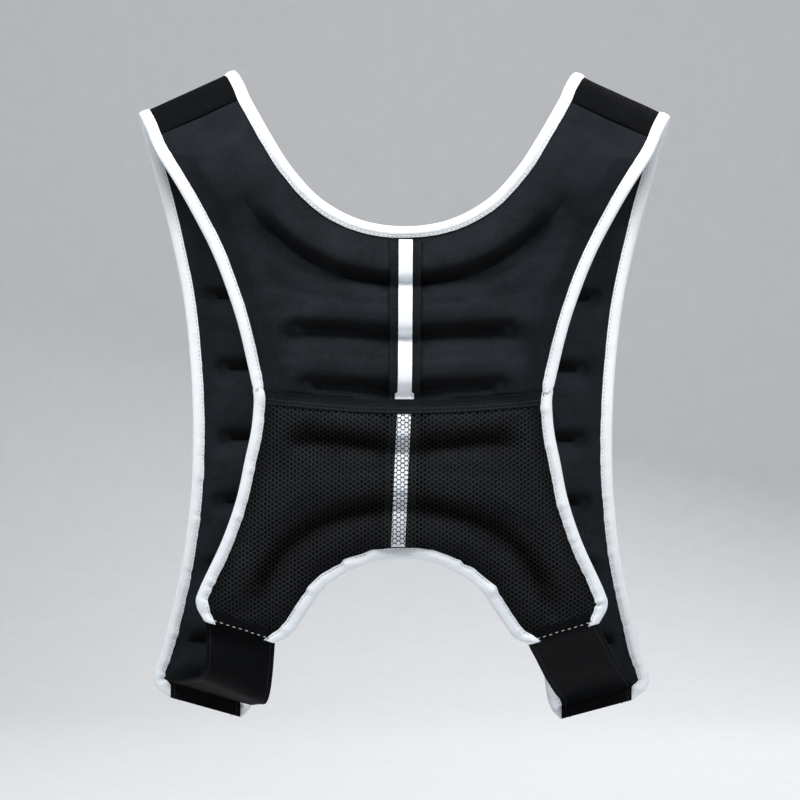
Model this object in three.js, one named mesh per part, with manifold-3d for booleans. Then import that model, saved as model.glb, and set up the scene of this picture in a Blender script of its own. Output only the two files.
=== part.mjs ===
// Weighted vest: padded back panel and two front halves, hung as it is worn.
// Millimetres, +Z up. The back faces -Y and the open front faces +Y.
// The origin is the middle of the line along which the two shoulder straps rest.
// Left is -X and right is +X.
import * as THREE from 'three';
import { mergeVertices } from 'three/addons/utils/BufferGeometryUtils.js';
import Module from 'manifold-3d';

const wasm = await Module();
wasm.setup();

// Body form
const SHOULDER_REACH = 196; // centre line to the arm edge of a shoulder strap
const NECK_REACH = 127; // centre line to the neck edge of a shoulder strap
const SHOULDER_FALL = 32; // drop across a strap, from its neck edge to its arm edge
const SHOULDER_ARCH = 95; // height over which the arch turns upright
const RIDGE_ROUND = 20; // softens the ridge where the two slopes would meet
const BACK_LENGTH = 392; // origin down to the leg ends
const FRONT_LENGTH = 457; // origin down to the front halves' ends
const LEG_SPREAD = 143; // centre line to the leg end's arm corner
const FRONT_GAP = 70; // narrowest gap between the front halves
const BACK_DEPTH = 62; // origin back to the shoulder blades
const CHEST_DEPTH = 66; // origin forward to the chest
const BACK_SWELL = 34; // extra depth along the middle of the back
const CHEST_SWELL = 30; // extra depth along the middle of the chest
const SWELL_REACH = 90; // half width of that extra depth
const BACK_LEAN = 0.28; // share of the depth lost again towards the leg ends
const CHEST_LEAN = 0.2;
const FULL_SWELL = 0.87; // share of a panel's length at which the extra depth is whole
const SEAM_ANGLE = 43; // shoulder seams, degrees either side of the ridge

// Padding
const EDGE = 3.6; // thickness of a panel at its bound edge
const PAD_OUT = 9; // filling above the edge, on the outside
const PAD_IN = 4; // filling towards the body
const PAD_RISE = 15; // distance over which the filling swells from the binding
const COLLAR = 40; // quilting seams beside the neck and the hem
const SEAM_WIDTH = 6.5; // reach of a quilting seam's dent
const SEAM_PINCH = 0.75; // share of the filling that a seam presses out

// Trim
const GAP = 0.3; // clearance between neighbouring pieces
const BINDING_COVER = 7.6;
const BINDING_WALL = 1;
const WEBBING_WIDTH = 22;
const WEBBING_THICK = 1.2;
const TAPE_WIDTH = 10;
const TAPE_THICK = 0.5;
const MESH_THICK = 1;
const POCKET_BAND_THICK = 1.5;
const SIDE_STRAP_THICK = 2;
const SIDE_STRAP_TUCK = 8; // strap behind a leg's end
const SIDE_STRAP_SEWN = 12; // strap behind a front half's end
const SIDE_STRAP_DROP = 30; // leg end down to the slack strap's fold
const SIDE_STRAP_CLEAR = 0.9; // strap to the bindings that it is sewn behind
const CHEST_STRAP_WIDTH = 25;
const CHEST_STRAP_THICK = 1.5;
const CHEST_STRAP_HOLD = 62; // strap sewn on to the front half, from its inner edge
const BUCKLE_LENGTH = 44;
const BUCKLE_HEIGHT = 34;
const BUCKLE_THICK = 9;
const BUCKLE_SOCKET = 8;
const BUCKLE_BEVEL = 1.5;
const BUCKLE_WAIST = 0.8; // share of the height left at the middle
const BUCKLE_ROUND = 4; // corner of the outline

// Colours, roughness and metalness
const NEOPRENE = new THREE.MeshStandardMaterial({ color: 0x14171c, roughness: 0.85, metalness: 0 });
const BINDING = new THREE.MeshStandardMaterial({ color: 0xe9f1f6, roughness: 0.7, metalness: 0 });
const ELASTIC = new THREE.MeshStandardMaterial({ color: 0x0c0c0e, roughness: 0.9, metalness: 0 });
const WEBBING = new THREE.MeshStandardMaterial({ color: 0x101113, roughness: 0.8, metalness: 0 });
const REFLECTIVE = new THREE.MeshStandardMaterial({ color: 0xdbe2e8, roughness: 0.45, metalness: 0.2 });
const NET = new THREE.MeshStandardMaterial({ color: 0x121315, roughness: 0.8, metalness: 0 });
const PLASTIC = new THREE.MeshStandardMaterial({ color: 0x0e0e10, roughness: 0.5, metalness: 0 });

// Makes named rows out of a table with one heading for each column
function table(columns, rows) {
  return rows.map((row) => Object.fromEntries(row.map((value, i) => [columns[i], value])));
}

// Outline of the back from the leg ends up. armX is a share of SHOULDER_REACH, innerX of LEG_SPREAD
// below the middle and of NECK_REACH above it, and the drops are shares of BACK_LENGTH.
const BACK_ROWS = table(['name', 'armX', 'armDrop', 'innerX', 'innerDrop', 'steps'], [
  ['leg_end', 0.729, 0.984, 0.651, 1.022, 1],
  ['leg_corner', 0.758, 0.952, 0.574, 1.007, 1],
  ['leg', 0.743, 0.922, 0.512, 0.975, 2],
  ['leg_top', 0.662, 0.835, 0.384, 0.912, 2],
  ['hem_side', 0.607, 0.756, 0.201, 0.873, 2],
  ['hem_middle', 0.575, 0.682, 0, 0.86, 4],
  ['lower_seam', 0.552, 0.627, 0, 0.654, 2],
  ['pocket', 0.543, 0.575, 0, 0.592, 1],
  ['pocket_mouth', 0.547, 0.555, 0, 0.571, 1],
  ['middle_seam', 0.551, 0.542, 0, 0.555, 4],
  ['upper_seam', 0.601, 0.437, 0, 0.456, 4],
  ['neck_middle', 0.653, 0.359, 0, 0.256, 2],
  ['neck_low', 0.703, 0.298, 0.249, 0.244, 2],
  ['neck_side', 0.757, 0.245, 0.4745, 0.205, 2],
  ['neck_high', 0.828, 0.182, 0.6415, 0.148, 2],
  ['neck_top', 0.909, 0.119, 0.7645, 0.087, 2],
]);

// The strap over the shoulder: turn is a share of SEAM_ANGLE, from the back seam to the front seam
const BAND_ROWS = table(['turn', 'armX', 'neckX'], [
  [-1, 0.94, 0.904],
  [-0.5, 0.979, 0.962],
  [0, 1, 1],
  [0.5, 1, 0.999],
  [1, 0.978, 0.983],
]);
const BAND_STEPS = 8;

// Outline of a front half from the shoulder down. gapX is a share of FRONT_GAP added to the neck share.
const FRONT_ROWS = table(['name', 'armX', 'armDrop', 'neckX', 'gapX', 'innerDrop', 'steps'], [
  ['strap', 0.961, 0.116, 0.929, 0, 0.073, 3],
  ['breast', 0.904, 0.213, 0.783, 0, 0.181, 3],
  ['seam_1', 0.851, 0.321, 0.195, 0.5, 0.321, 3],
  ['seam_2', 0.82, 0.44, 0.009, 0.5, 0.44, 3],
  ['seam_3', 0.81, 0.557, 0.003, 0.5, 0.557, 3],
  ['seam_4', 0.819, 0.662, 0.1, 0.5, 0.663, 3],
  ['seam_5', 0.851, 0.77, 0.339, 0.5, 0.771, 3],
  ['seam_6', 0.912, 0.89, 0.553, 0.5, 0.899, 2],
  ['end_corner', 0.954, 0.956, 0.617, 0.5, 0.99, 1],
  ['end', 0.892, 0.987, 0.688, 0.5, 1.019, 1],
]);
const FRONT_TOP_STEPS = 2;

// Quilting seams across the panels, each along one row; from and to are shares of that row
const BACK_SEAMS = table(['row', 'from', 'to'], [
  ['lower_seam', 0.35, 1],
  ['middle_seam', 0.37, 1],
  ['upper_seam', 0.36, 1],
]);
const NECK_SEAM_END = 'neck_high';
const HEM_SEAM_END = 'leg';
const FRONT_SEAM_FROM = 0.2;
const FRONT_SEAM_TO = 0.8;

const BODY_COLUMNS = 6;
const COLLAR_COLUMNS = 3;
const FRONT_COLUMNS = 5;
const BACK = -1;
const FRONT = 1;
const RIGHT = 1;
const LEFT = -1;
const FACE = {
  [BACK]: { depth: BACK_DEPTH, swell: BACK_SWELL, lean: BACK_LEAN, length: BACK_LENGTH },
  [FRONT]: { depth: CHEST_DEPTH, swell: CHEST_SWELL, lean: CHEST_LEAN, length: FRONT_LENGTH },
};

// Height of the line along which the shoulders turn from back to front
function ridgeHeight(x) {
  const reach = Math.hypot(x, RIDGE_ROUND);
  const middle = (SHOULDER_REACH + NECK_REACH) / 2;
  return EDGE / 2 + SHOULDER_FALL * (middle - reach) / (SHOULDER_REACH - NECK_REACH);
}

// Point of the middle surface at a drop below the ridge
function bodyPoint(face, x, drop) {
  const { depth, swell, lean, length } = FACE[face];
  const z = ridgeHeight(x) - drop;
  const arch = Math.min(drop / SHOULDER_ARCH, 1);
  const below = Math.max(drop - SHOULDER_ARCH, 0) / (length - SHOULDER_ARCH);
  const upright = depth * Math.sqrt(1 - (1 - arch) ** 2) * (1 - lean * below ** 2);
  const rise = Math.sin(Math.min(Math.max(-z, 0) / (FULL_SWELL * length), 1) * Math.PI / 2);
  const middle = swell * rise * Math.exp(-((x / SWELL_REACH) ** 2));
  return new THREE.Vector3(x, face * (upright + middle), z);
}

// Point of the middle surface over or under a place in the XZ plane
function place(face, at) {
  return bodyPoint(face, at.x, Math.max(ridgeHeight(at.x) - at.y, 0));
}

function archPoint(x, turn) {
  const drop = SHOULDER_ARCH * (1 - Math.cos(turn));
  return bodyPoint(turn < 0 ? BACK : FRONT, x, drop);
}

// Outward normal from two neighbours along each direction
function normalFrom(before, after, left, right, outward) {
  const along = after.sub(before);
  const across = right.sub(left);
  const normal = along.cross(across).normalize();
  return normal.dot(outward) < 0 ? normal.negate() : normal;
}

function placeNormal(face, at) {
  const step = 0.5;
  return normalFrom(
    place(face, new THREE.Vector2(at.x, at.y - step)),
    place(face, new THREE.Vector2(at.x, at.y + step)),
    place(face, new THREE.Vector2(at.x - step, at.y)),
    place(face, new THREE.Vector2(at.x + step, at.y)),
    new THREE.Vector3(0, face, 0),
  );
}

function archNormal(x, turn) {
  const step = 0.02;
  return normalFrom(
    archPoint(x, turn - step),
    archPoint(x, turn + step),
    archPoint(x - 0.5, turn),
    archPoint(x + 0.5, turn),
    new THREE.Vector3(0, Math.sin(turn), Math.cos(turn)),
  );
}

// Smooth curve through a row of points at index s; guides stand in for the points past its ends
function curveAt(points, s, guideBefore, guideAfter) {
  const i = Math.min(Math.floor(s), points.length - 2);
  const t = s - i;
  const b = points[i];
  const c = points[i + 1];
  const a = i > 0 ? points[i - 1] : guideBefore ?? b.clone().multiplyScalar(2).sub(c);
  const d = i + 2 < points.length ? points[i + 2] : guideAfter ?? c.clone().multiplyScalar(2).sub(b);
  const mix = (key) => {
    const slopeB = (c[key] - a[key]) / 2;
    const slopeC = (d[key] - b[key]) / 2;
    const cubic = 2 * b[key] - 2 * c[key] + slopeB + slopeC;
    const square = 3 * c[key] - 3 * b[key] - 2 * slopeB - slopeC;
    return ((cubic * t + square) * t + slopeB) * t + b[key];
  };
  return new THREE.Vector2(mix('x'), mix('y'));
}

function seamPlace(x) {
  const drop = SHOULDER_ARCH * (1 - Math.cos(THREE.MathUtils.degToRad(SEAM_ANGLE)));
  return new THREE.Vector2(x, ridgeHeight(x) - drop);
}

function mirrorX(point) {
  return new THREE.Vector2(-point.x, point.y);
}

const backIndex = Object.fromEntries(BACK_ROWS.map((row, i) => [row.name, i]));
const backSeamIndex = BACK_ROWS.length;
const bandBack = BAND_ROWS[0];
const bandFront = BAND_ROWS[BAND_ROWS.length - 1];

const backArm = BACK_ROWS.map((row) => (
  new THREE.Vector2(row.armX * SHOULDER_REACH, -row.armDrop * BACK_LENGTH)
));
backArm.push(seamPlace(bandBack.armX * SHOULDER_REACH));

const backInner = BACK_ROWS.map((row, i) => {
  const reach = i < backIndex.hem_middle ? LEG_SPREAD : NECK_REACH;
  return new THREE.Vector2(row.innerX * reach, -row.innerDrop * BACK_LENGTH);
});
backInner.push(seamPlace(bandBack.neckX * NECK_REACH));

const frontArm = [seamPlace(bandFront.armX * SHOULDER_REACH)];
const frontInner = [seamPlace(bandFront.neckX * NECK_REACH)];
for (const row of FRONT_ROWS) {
  frontArm.push(new THREE.Vector2(row.armX * SHOULDER_REACH, -row.armDrop * FRONT_LENGTH));
  const innerX = row.neckX * NECK_REACH + row.gapX * FRONT_GAP;
  frontInner.push(new THREE.Vector2(innerX, -row.innerDrop * FRONT_LENGTH));
}

// Inner edge of the back: hem, then the centre line, then the neck
function backInnerAt(s) {
  const hem = backInner.slice(0, backIndex.hem_middle + 1);
  const neck = backInner.slice(backIndex.neck_middle);
  if (s <= backIndex.hem_middle) {
    return curveAt(hem, s, undefined, mirrorX(hem[hem.length - 2]));
  }
  if (s >= backIndex.neck_middle) {
    return curveAt(neck, s - backIndex.neck_middle, mirrorX(neck[1]), undefined);
  }
  const centre = backInner.slice(backIndex.hem_middle, backIndex.neck_middle + 1);
  return curveAt(centre, s - backIndex.hem_middle);
}

function tangentAt(curve, s, last) {
  const step = 0.02;
  const from = curve(Math.max(s - step, 0));
  const to = curve(Math.min(s + step, last));
  return to.sub(from).normalize();
}

function turnLeft(v) {
  return new THREE.Vector2(-v.y, v.x);
}

// One row of the back half: places from the arm edge to the centre line, or to the neck or hem edge
function backRow(s) {
  const arm = curveAt(backArm, s);
  const inner = backInnerAt(s);
  const bound = s <= backIndex.hem_middle || s >= backIndex.neck_middle;
  const across = inner.clone().sub(arm);
  const along = across.clone().normalize();
  const atEnd = s === 0 || s === backSeamIndex;
  const armward = turnLeft(tangentAt((at) => curveAt(backArm, at), s, backSeamIndex));
  const inward = atEnd ? along.clone() : armward;
  const places = [arm, arm.clone().addScaledVector(inward, BINDING_COVER + GAP)];
  let goal = inner;
  const collar = [];
  if (bound) {
    const side = turnLeft(tangentAt(backInnerAt, s, backSeamIndex)).negate();
    if (s === backIndex.hem_middle) {
      side.set(0, 1);
    }
    if (s === backIndex.neck_middle) {
      side.set(0, -1);
    }
    const outward = atEnd ? along.clone().negate() : side;
    const width = Math.min(COLLAR, across.length() / 2);
    goal = inner.clone().addScaledVector(outward, width);
    const reach = width - BINDING_COVER - GAP;
    for (let i = 1; i <= COLLAR_COLUMNS; i += 1) {
      collar.push(inner.clone().addScaledVector(outward, width - reach * i / COLLAR_COLUMNS));
    }
    collar.push(inner);
  } else {
    goal = new THREE.Vector2(0, centreDrop(s));
  }
  for (let i = 1; i <= BODY_COLUMNS; i += 1) {
    places.push(places[1].clone().lerp(goal, i / BODY_COLUMNS));
  }
  return { s, places, collar, edge: arm, edgeInward: inward, inner };
}

// Heights on the centre line keep clear of the seams that run beside the hem and the neck
function centreDrop(s) {
  const low = backInner[backIndex.hem_middle].y + COLLAR;
  const high = backInner[backIndex.neck_middle].y - COLLAR;
  const rows = backInner.slice(backIndex.hem_middle, backIndex.neck_middle + 1).map((p) => p.clone());
  rows[0].y = low;
  rows[rows.length - 1].y = high;
  return curveAt(rows, s - backIndex.hem_middle).y;
}

function frontRow(s) {
  const last = frontArm.length - 1;
  const arm = curveAt(frontArm, s);
  const inner = curveAt(frontInner, s);
  const along = inner.clone().sub(arm).normalize();
  const atEnd = s === 0 || s === last;
  const armSide = turnLeft(tangentAt((at) => curveAt(frontArm, at), s, last)).negate();
  const innerSide = turnLeft(tangentAt((at) => curveAt(frontInner, at), s, last));
  const edgeInward = atEnd ? along.clone() : armSide;
  const innerInward = atEnd ? along.clone().negate() : innerSide;
  const first = arm.clone().addScaledVector(edgeInward, BINDING_COVER + GAP);
  const final = inner.clone().addScaledVector(innerInward, BINDING_COVER + GAP);
  const places = [arm];
  for (let i = 0; i <= FRONT_COLUMNS; i += 1) {
    places.push(first.clone().lerp(final, i / FRONT_COLUMNS));
  }
  places.push(inner);
  return { s, places, edge: arm, edgeInward, inner, innerInward };
}

// Positions of all rows, with each table row's own number of steps
function spread(rows, first) {
  const list = [];
  rows.forEach((row, i) => {
    for (let k = 0; k < row.steps; k += 1) {
      list.push(first + i + k / row.steps);
    }
  });
  return list;
}

const backStations = [...spread(BACK_ROWS, 0), backSeamIndex];
const frontStations = [];
for (let k = 0; k < FRONT_TOP_STEPS; k += 1) {
  frontStations.push(k / FRONT_TOP_STEPS);
}
frontStations.push(...spread(FRONT_ROWS.slice(0, -1), 1), FRONT_ROWS.length);

const backRows = backStations.map(backRow);
const frontRows = frontStations.map(frontRow);

function distanceToLine(at, line) {
  let best = Infinity;
  for (let i = 0; i + 1 < line.length; i += 1) {
    const span = line[i + 1].clone().sub(line[i]);
    const t = THREE.MathUtils.clamp(at.clone().sub(line[i]).dot(span) / span.lengthSq(), 0, 1);
    best = Math.min(best, at.distanceTo(line[i].clone().addScaledVector(span, t)));
  }
  return best;
}

function smooth(t) {
  const c = THREE.MathUtils.clamp(t, 0, 1);
  return c * c * (3 - 2 * c);
}

// Share of the full filling: none under the bindings or where straps are sewn to a panel's ends,
// and pressed down along each quilting seam
function filling(at, { edges, ends, seams }) {
  const bound = Math.min(...edges.map((line) => distanceToLine(at, line)));
  const end = Math.min(...ends.map((line) => distanceToLine(at, line))) - SIDE_STRAP_TUCK;
  const edge = Math.min(bound, end);
  const seam = Math.min(...seams.map((line) => distanceToLine(at, line)));
  const swell = smooth((edge - BINDING_COVER - GAP) / PAD_RISE);
  return swell * (1 - SEAM_PINCH * Math.exp(-((seam / SEAM_WIDTH) ** 2)));
}

const hemRows = backRows.filter((row) => row.s <= backIndex.hem_middle);
const neckRows = backRows.filter((row) => row.s >= backIndex.neck_middle);
const backSeams = BACK_SEAMS.map((seam) => {
  const row = backRow(backIndex[seam.row]);
  const goal = row.places[row.places.length - 1];
  return [row.edge.clone().lerp(goal, seam.from), row.edge.clone().lerp(goal, seam.to)];
});
const lastPlace = (row) => row.places[row.places.length - 1];
backSeams.push(neckRows.filter((row) => row.s <= backIndex[NECK_SEAM_END]).map(lastPlace));
backSeams.push(hemRows.filter((row) => row.s >= backIndex[HEM_SEAM_END]).map(lastPlace));
const endLines = (rows) => [rows[0], rows[rows.length - 1]].map((row) => [row.edge, row.inner]);
const frontSeams = FRONT_ROWS.slice(2, -2).map((row, i) => {
  const at = frontRow(i + 3);
  return [at.edge.clone().lerp(at.inner, FRONT_SEAM_FROM), at.edge.clone().lerp(at.inner, FRONT_SEAM_TO)];
});
const backEdges = [backRows.map((row) => row.edge)];
for (const rows of [hemRows, neckRows]) {
  backEdges.push(rows.map((row) => row.inner));
}
const QUILT = {
  [BACK]: {
    edges: backEdges,
    ends: endLines(backRows),
    seams: backSeams,
  },
  [FRONT]: {
    edges: [frontRows.map((row) => row.edge), frontRows.map((row) => row.inner)],
    ends: endLines(frontRows),
    seams: frontSeams,
  },
};

// A point of a thick sheet: its place on the middle surface, and its outer and inner faces
function padPoint(face, at) {
  const fill = filling(at, QUILT[face]);
  const middle = place(face, at);
  const normal = placeNormal(face, at);
  const outer = middle.clone().addScaledVector(normal, EDGE / 2 + PAD_OUT * fill);
  const inner = middle.clone().addScaledVector(normal, -EDGE / 2 - PAD_IN * fill);
  return { outer, inner, normal };
}

function key(point) {
  return [point.x, point.y, point.z].map((value) => Math.round(value * 1000)).join(' ');
}

function mirrored(point) {
  const flip = (v) => new THREE.Vector3(-v.x, v.y, v.z);
  return { outer: flip(point.outer), inner: flip(point.inner) };
}

// Closed solid from grids of points: the outer face, the inner face and a wall round the rim.
// Each grid's rows run up the back or down the front, and its columns run inward on the right half.
function sheetGeometry(grids, sides) {
  const corners = [];
  const known = new Map();
  const cells = [];
  const number = (point) => {
    const name = key(point.outer);
    if (!known.has(name)) {
      known.set(name, corners.length);
      corners.push(point);
    }
    return known.get(name);
  };
  for (const side of sides) {
    for (const grid of grids) {
      for (let i = 0; i + 1 < grid.length; i += 1) {
        for (let j = 0; j + 1 < grid[i].length; j += 1) {
          const four = [grid[i][j], grid[i + 1][j], grid[i + 1][j + 1], grid[i][j + 1]];
          const turned = side === RIGHT ? four : four.map(mirrored).reverse();
          const [a, b, c, d] = turned.map(number);
          cells.push([a, b, c], [a, c, d]);
        }
      }
    }
  }
  const faces = cells.filter(([a, b, c]) => a !== b && b !== c && a !== c);
  const directed = new Set(faces.flatMap(([a, b, c]) => [`${a} ${b}`, `${b} ${c}`, `${c} ${a}`]));
  const count = corners.length;
  const index = [];
  for (const [a, b, c] of faces) {
    index.push(a, b, c, count + a, count + c, count + b);
    for (const [from, to] of [[a, b], [b, c], [c, a]]) {
      if (!directed.has(`${to} ${from}`)) {
        index.push(to, from, count + from, to, count + from, count + to);
      }
    }
  }
  const positions = [...corners.map((p) => p.outer), ...corners.map((p) => p.inner)];
  return geometryFrom(positions, index);
}

function geometryFrom(positions, index) {
  const geometry = new THREE.BufferGeometry();
  const flat = positions.flatMap((p) => [p.x, p.y, p.z]);
  geometry.setAttribute('position', new THREE.Float32BufferAttribute(flat, 3));
  geometry.setIndex(index);
  geometry.computeVertexNormals();
  return geometry;
}

const vest = new THREE.Group();

function addPiece(name, geometry, material) {
  const mesh = new THREE.Mesh(geometry, material);
  mesh.name = name;
  vest.add(mesh);
  return mesh;
}

// Panels
const backGrids = [
  backRows.map((row) => row.places.map((at) => padPoint(BACK, at))),
  hemRows.map((row) => [lastPlace(row), ...row.collar].map((at) => padPoint(BACK, at))),
  neckRows.map((row) => [lastPlace(row), ...row.collar].map((at) => padPoint(BACK, at))),
];
const backPanel = addPiece('back_panel', sheetGeometry(backGrids, [RIGHT, LEFT]), NEOPRENE);

const frontGrid = frontRows.map((row) => row.places.map((at) => padPoint(FRONT, at)));
const frontPanels = {
  [LEFT]: addPiece('front_panel_left', sheetGeometry([frontGrid], [LEFT]), NEOPRENE),
  [RIGHT]: addPiece('front_panel_right', sheetGeometry([frontGrid], [RIGHT]), NEOPRENE),
};

// Shoulder bands
function bandPlaces(turnShare) {
  const s = (turnShare + 1) / 2 * (BAND_ROWS.length - 1);
  const arm = BAND_ROWS.map((row) => new THREE.Vector2(row.armX * SHOULDER_REACH, 0));
  const neck = BAND_ROWS.map((row) => new THREE.Vector2(row.neckX * NECK_REACH, 0));
  return { armX: curveAt(arm, s).x, neckX: curveAt(neck, s).x };
}

const seamTurn = THREE.MathUtils.degToRad(SEAM_ANGLE);
const slopeCos = Math.cos(Math.atan2(SHOULDER_FALL, SHOULDER_REACH - NECK_REACH));

function bandStations(inset) {
  const list = [];
  for (let i = 0; i <= BAND_STEPS; i += 1) {
    list.push((i / BAND_STEPS * 2 - 1) * (1 - inset));
  }
  return list;
}

const bandInset = 2 * GAP / (BACK_DEPTH * seamTurn);
const bandGrid = bandStations(bandInset).map((share) => {
  const { armX, neckX } = bandPlaces(share);
  const turn = share * seamTurn;
  return [0, 1 / 3, 2 / 3, 1].map((t) => {
    const x = THREE.MathUtils.lerp(armX, neckX, t);
    const middle = archPoint(x, turn);
    const normal = archNormal(x, turn);
    return {
      outer: middle.clone().addScaledVector(normal, EDGE / 2),
      inner: middle.clone().addScaledVector(normal, -EDGE / 2),
    };
  });
});
addPiece('shoulder_band_left', sheetGeometry([bandGrid], [LEFT]), ELASTIC);
addPiece('shoulder_band_right', sheetGeometry([bandGrid], [RIGHT]), ELASTIC);

// Bindings: a folded tape whose section wraps the panel's edge
const foldOut = EDGE / 2 + GAP + BINDING_WALL;
const foldIn = EDGE / 2 + GAP;
const BINDING_SECTION = table(['inward', 'up'], [
  [BINDING_COVER, foldOut],
  [GAP, foldOut],
  [-GAP - BINDING_WALL, foldIn / 2],
  [-GAP - BINDING_WALL, -foldIn / 2],
  [GAP, -foldOut],
  [BINDING_COVER, -foldOut],
  [BINDING_COVER, -foldIn],
  [-GAP, -foldIn],
  [-GAP, foldIn],
  [BINDING_COVER, foldIn],
]);

function bindingFrame(edge, inside, normal) {
  const inward = inside.clone().sub(edge);
  inward.addScaledVector(normal, -inward.dot(normal)).normalize();
  return { edge, inward, normal };
}

function panelFrame(face, at, direction) {
  const inside = at.clone().addScaledVector(direction, BINDING_COVER);
  return bindingFrame(place(face, at), place(face, inside), placeNormal(face, at));
}

function bandFrames(edgeName, inwardSign) {
  return bandStations(0).slice(1, -1).map((share) => {
    const x = bandPlaces(share)[edgeName];
    const turn = share * seamTurn;
    const inside = archPoint(x + inwardSign * BINDING_COVER * slopeCos, turn);
    return bindingFrame(archPoint(x, turn), inside, archNormal(x, turn));
  });
}

function sideOf(row) {
  const [next] = row.collar.slice(-2);
  return next.clone().sub(row.inner).normalize();
}

function mirroredFrame(frame) {
  const flip = (v) => new THREE.Vector3(-v.x, v.y, v.z);
  return { edge: flip(frame.edge), inward: flip(frame.inward), normal: flip(frame.normal) };
}

function bindingGeometry(frames) {
  const size = BINDING_SECTION.length;
  const positions = frames.flatMap((frame) => BINDING_SECTION.map((corner) => (
    frame.edge.clone()
      .addScaledVector(frame.inward, corner.inward)
      .addScaledVector(frame.normal, corner.up)
  )));
  const index = [];
  for (let i = 0; i + 1 < frames.length; i += 1) {
    for (let j = 0; j < size; j += 1) {
      const a = i * size + j;
      const b = i * size + (j + 1) % size;
      index.push(a, b, b + size, a, b + size, a + size);
    }
  }
  const section = BINDING_SECTION.map((corner) => new THREE.Vector2(corner.inward, corner.up));
  const end = (frames.length - 1) * size;
  for (const [a, b, c] of THREE.ShapeUtils.triangulateShape(section, [])) {
    index.push(c, b, a, end + a, end + b, end + c);
  }
  return outwardGeometry(positions, index);
}

function signedVolume(positions, index) {
  let total = 0;
  for (let i = 0; i < index.length; i += 3) {
    const [a, b, c] = [0, 1, 2].map((k) => positions[index[i + k]]);
    total += a.dot(b.clone().cross(c)) / 6;
  }
  return total;
}

function outwardGeometry(positions, index) {
  if (signedVolume(positions, index) < 0) {
    index.reverse();
  }
  return geometryFrom(positions, index);
}

const armFrames = [
  ...backRows.map((row) => panelFrame(BACK, row.edge, row.edgeInward)),
  ...bandFrames('armX', -1),
  ...frontRows.map((row) => panelFrame(FRONT, row.edge, row.edgeInward)),
];
addPiece('arm_binding_right', bindingGeometry(armFrames), BINDING);
addPiece('arm_binding_left', bindingGeometry(armFrames.map(mirroredFrame)), BINDING);

const neckFrames = [
  ...neckRows.map((row) => panelFrame(BACK, row.inner, sideOf(row))),
  ...bandFrames('neckX', 1),
  ...frontRows.map((row) => panelFrame(FRONT, row.inner, row.innerInward)),
];
const neckLoop = [...neckFrames.slice(1).reverse().map(mirroredFrame), ...neckFrames];
addPiece('neck_binding', bindingGeometry(neckLoop), BINDING);

const hemFrames = hemRows.map((row) => panelFrame(BACK, row.inner, sideOf(row)));
const hemLoop = [...hemFrames, ...hemFrames.slice(0, -1).reverse().map(mirroredFrame)];
addPiece('hem_binding', bindingGeometry(hemLoop), BINDING);

// Centre webbing and its tape lie flat across the quilted back
const caster = new THREE.Raycaster();

function outermost(mesh, face, x, z) {
  const start = 2 * (FACE[face].depth + FACE[face].swell + PAD_OUT);
  caster.set(new THREE.Vector3(x, face * start, z), new THREE.Vector3(0, -face, 0));
  const [hit] = caster.intersectObject(mesh);
  return hit ? face * hit.point.y : -Infinity;
}

const PROBES = [-0.5, -0.375, -0.25, -0.125, 0, 0.125, 0.25, 0.375, 0.5]; // shares of a strip's step

function stripDepth(mesh, face, xs, z, step) {
  const zs = PROBES.map((share) => z + share * step);
  return Math.max(...xs.flatMap((x) => zs.map((at) => outermost(mesh, face, x, at))));
}

const webbingTop = backInner[backIndex.neck_middle].y - BINDING_COVER - GAP;
const webbingFoot = backInner[backIndex.hem_middle].y + BINDING_COVER + GAP;
const WEBBING_STEPS = 26;
const webbingStep = (webbingTop - webbingFoot) / WEBBING_STEPS;
const webbingLine = [];
for (let i = 0; i <= WEBBING_STEPS; i += 1) {
  const z = webbingFoot + i * webbingStep;
  const xs = PROBES.map((share) => share * WEBBING_WIDTH);
  webbingLine.push({ z, depth: stripDepth(backPanel, BACK, xs, z, webbingStep) + GAP });
}

// Depth of the webbing's underside at any height
function webbingDepth(z) {
  const s = THREE.MathUtils.clamp((z - webbingFoot) / webbingStep, 0, WEBBING_STEPS);
  const i = Math.min(Math.floor(s), WEBBING_STEPS - 1);
  return THREE.MathUtils.lerp(webbingLine[i].depth, webbingLine[i + 1].depth, s - i);
}

function stripGeometry(width, under, thick, heights) {
  const grid = heights.map((z) => [width / 2, -width / 2].map((x) => {
    const depth = webbingDepth(z) + under;
    return {
      outer: new THREE.Vector3(x, BACK * (depth + thick), z),
      inner: new THREE.Vector3(x, BACK * depth, z),
    };
  }));
  return sheetGeometry([grid], [RIGHT]);
}

const bandTopZ = backRow(backIndex.pocket_mouth).places.at(-1).y;
const bandFootZ = backRow(backIndex.pocket).places.at(-1).y;
const heights = webbingLine.map((at) => at.z);
addPiece('centre_webbing', stripGeometry(WEBBING_WIDTH, 0, WEBBING_THICK, heights), WEBBING);
const tapeUnder = WEBBING_THICK + GAP;
const upperHeights = [bandTopZ + GAP, ...heights.filter((z) => z > bandTopZ + 2 * GAP)];
const lowerHeights = [...heights.filter((z) => z < bandFootZ - 2 * GAP), bandFootZ - GAP];
const tapes = { upper: upperHeights, lower: lowerHeights };
for (const [name, zs] of Object.entries(tapes)) {
  const tape = stripGeometry(TAPE_WIDTH, tapeUnder, TAPE_THICK, zs);
  addPiece(`reflective_strip_${name}`, tape, REFLECTIVE);
}

// Mesh pocket and the band at its mouth, over the panel and, in the middle, over the webbing
const pocketBridge = WEBBING_WIDTH;
const POCKET_SEAM = 0.03; // share of a row between the mesh and the band at its mouth

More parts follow.
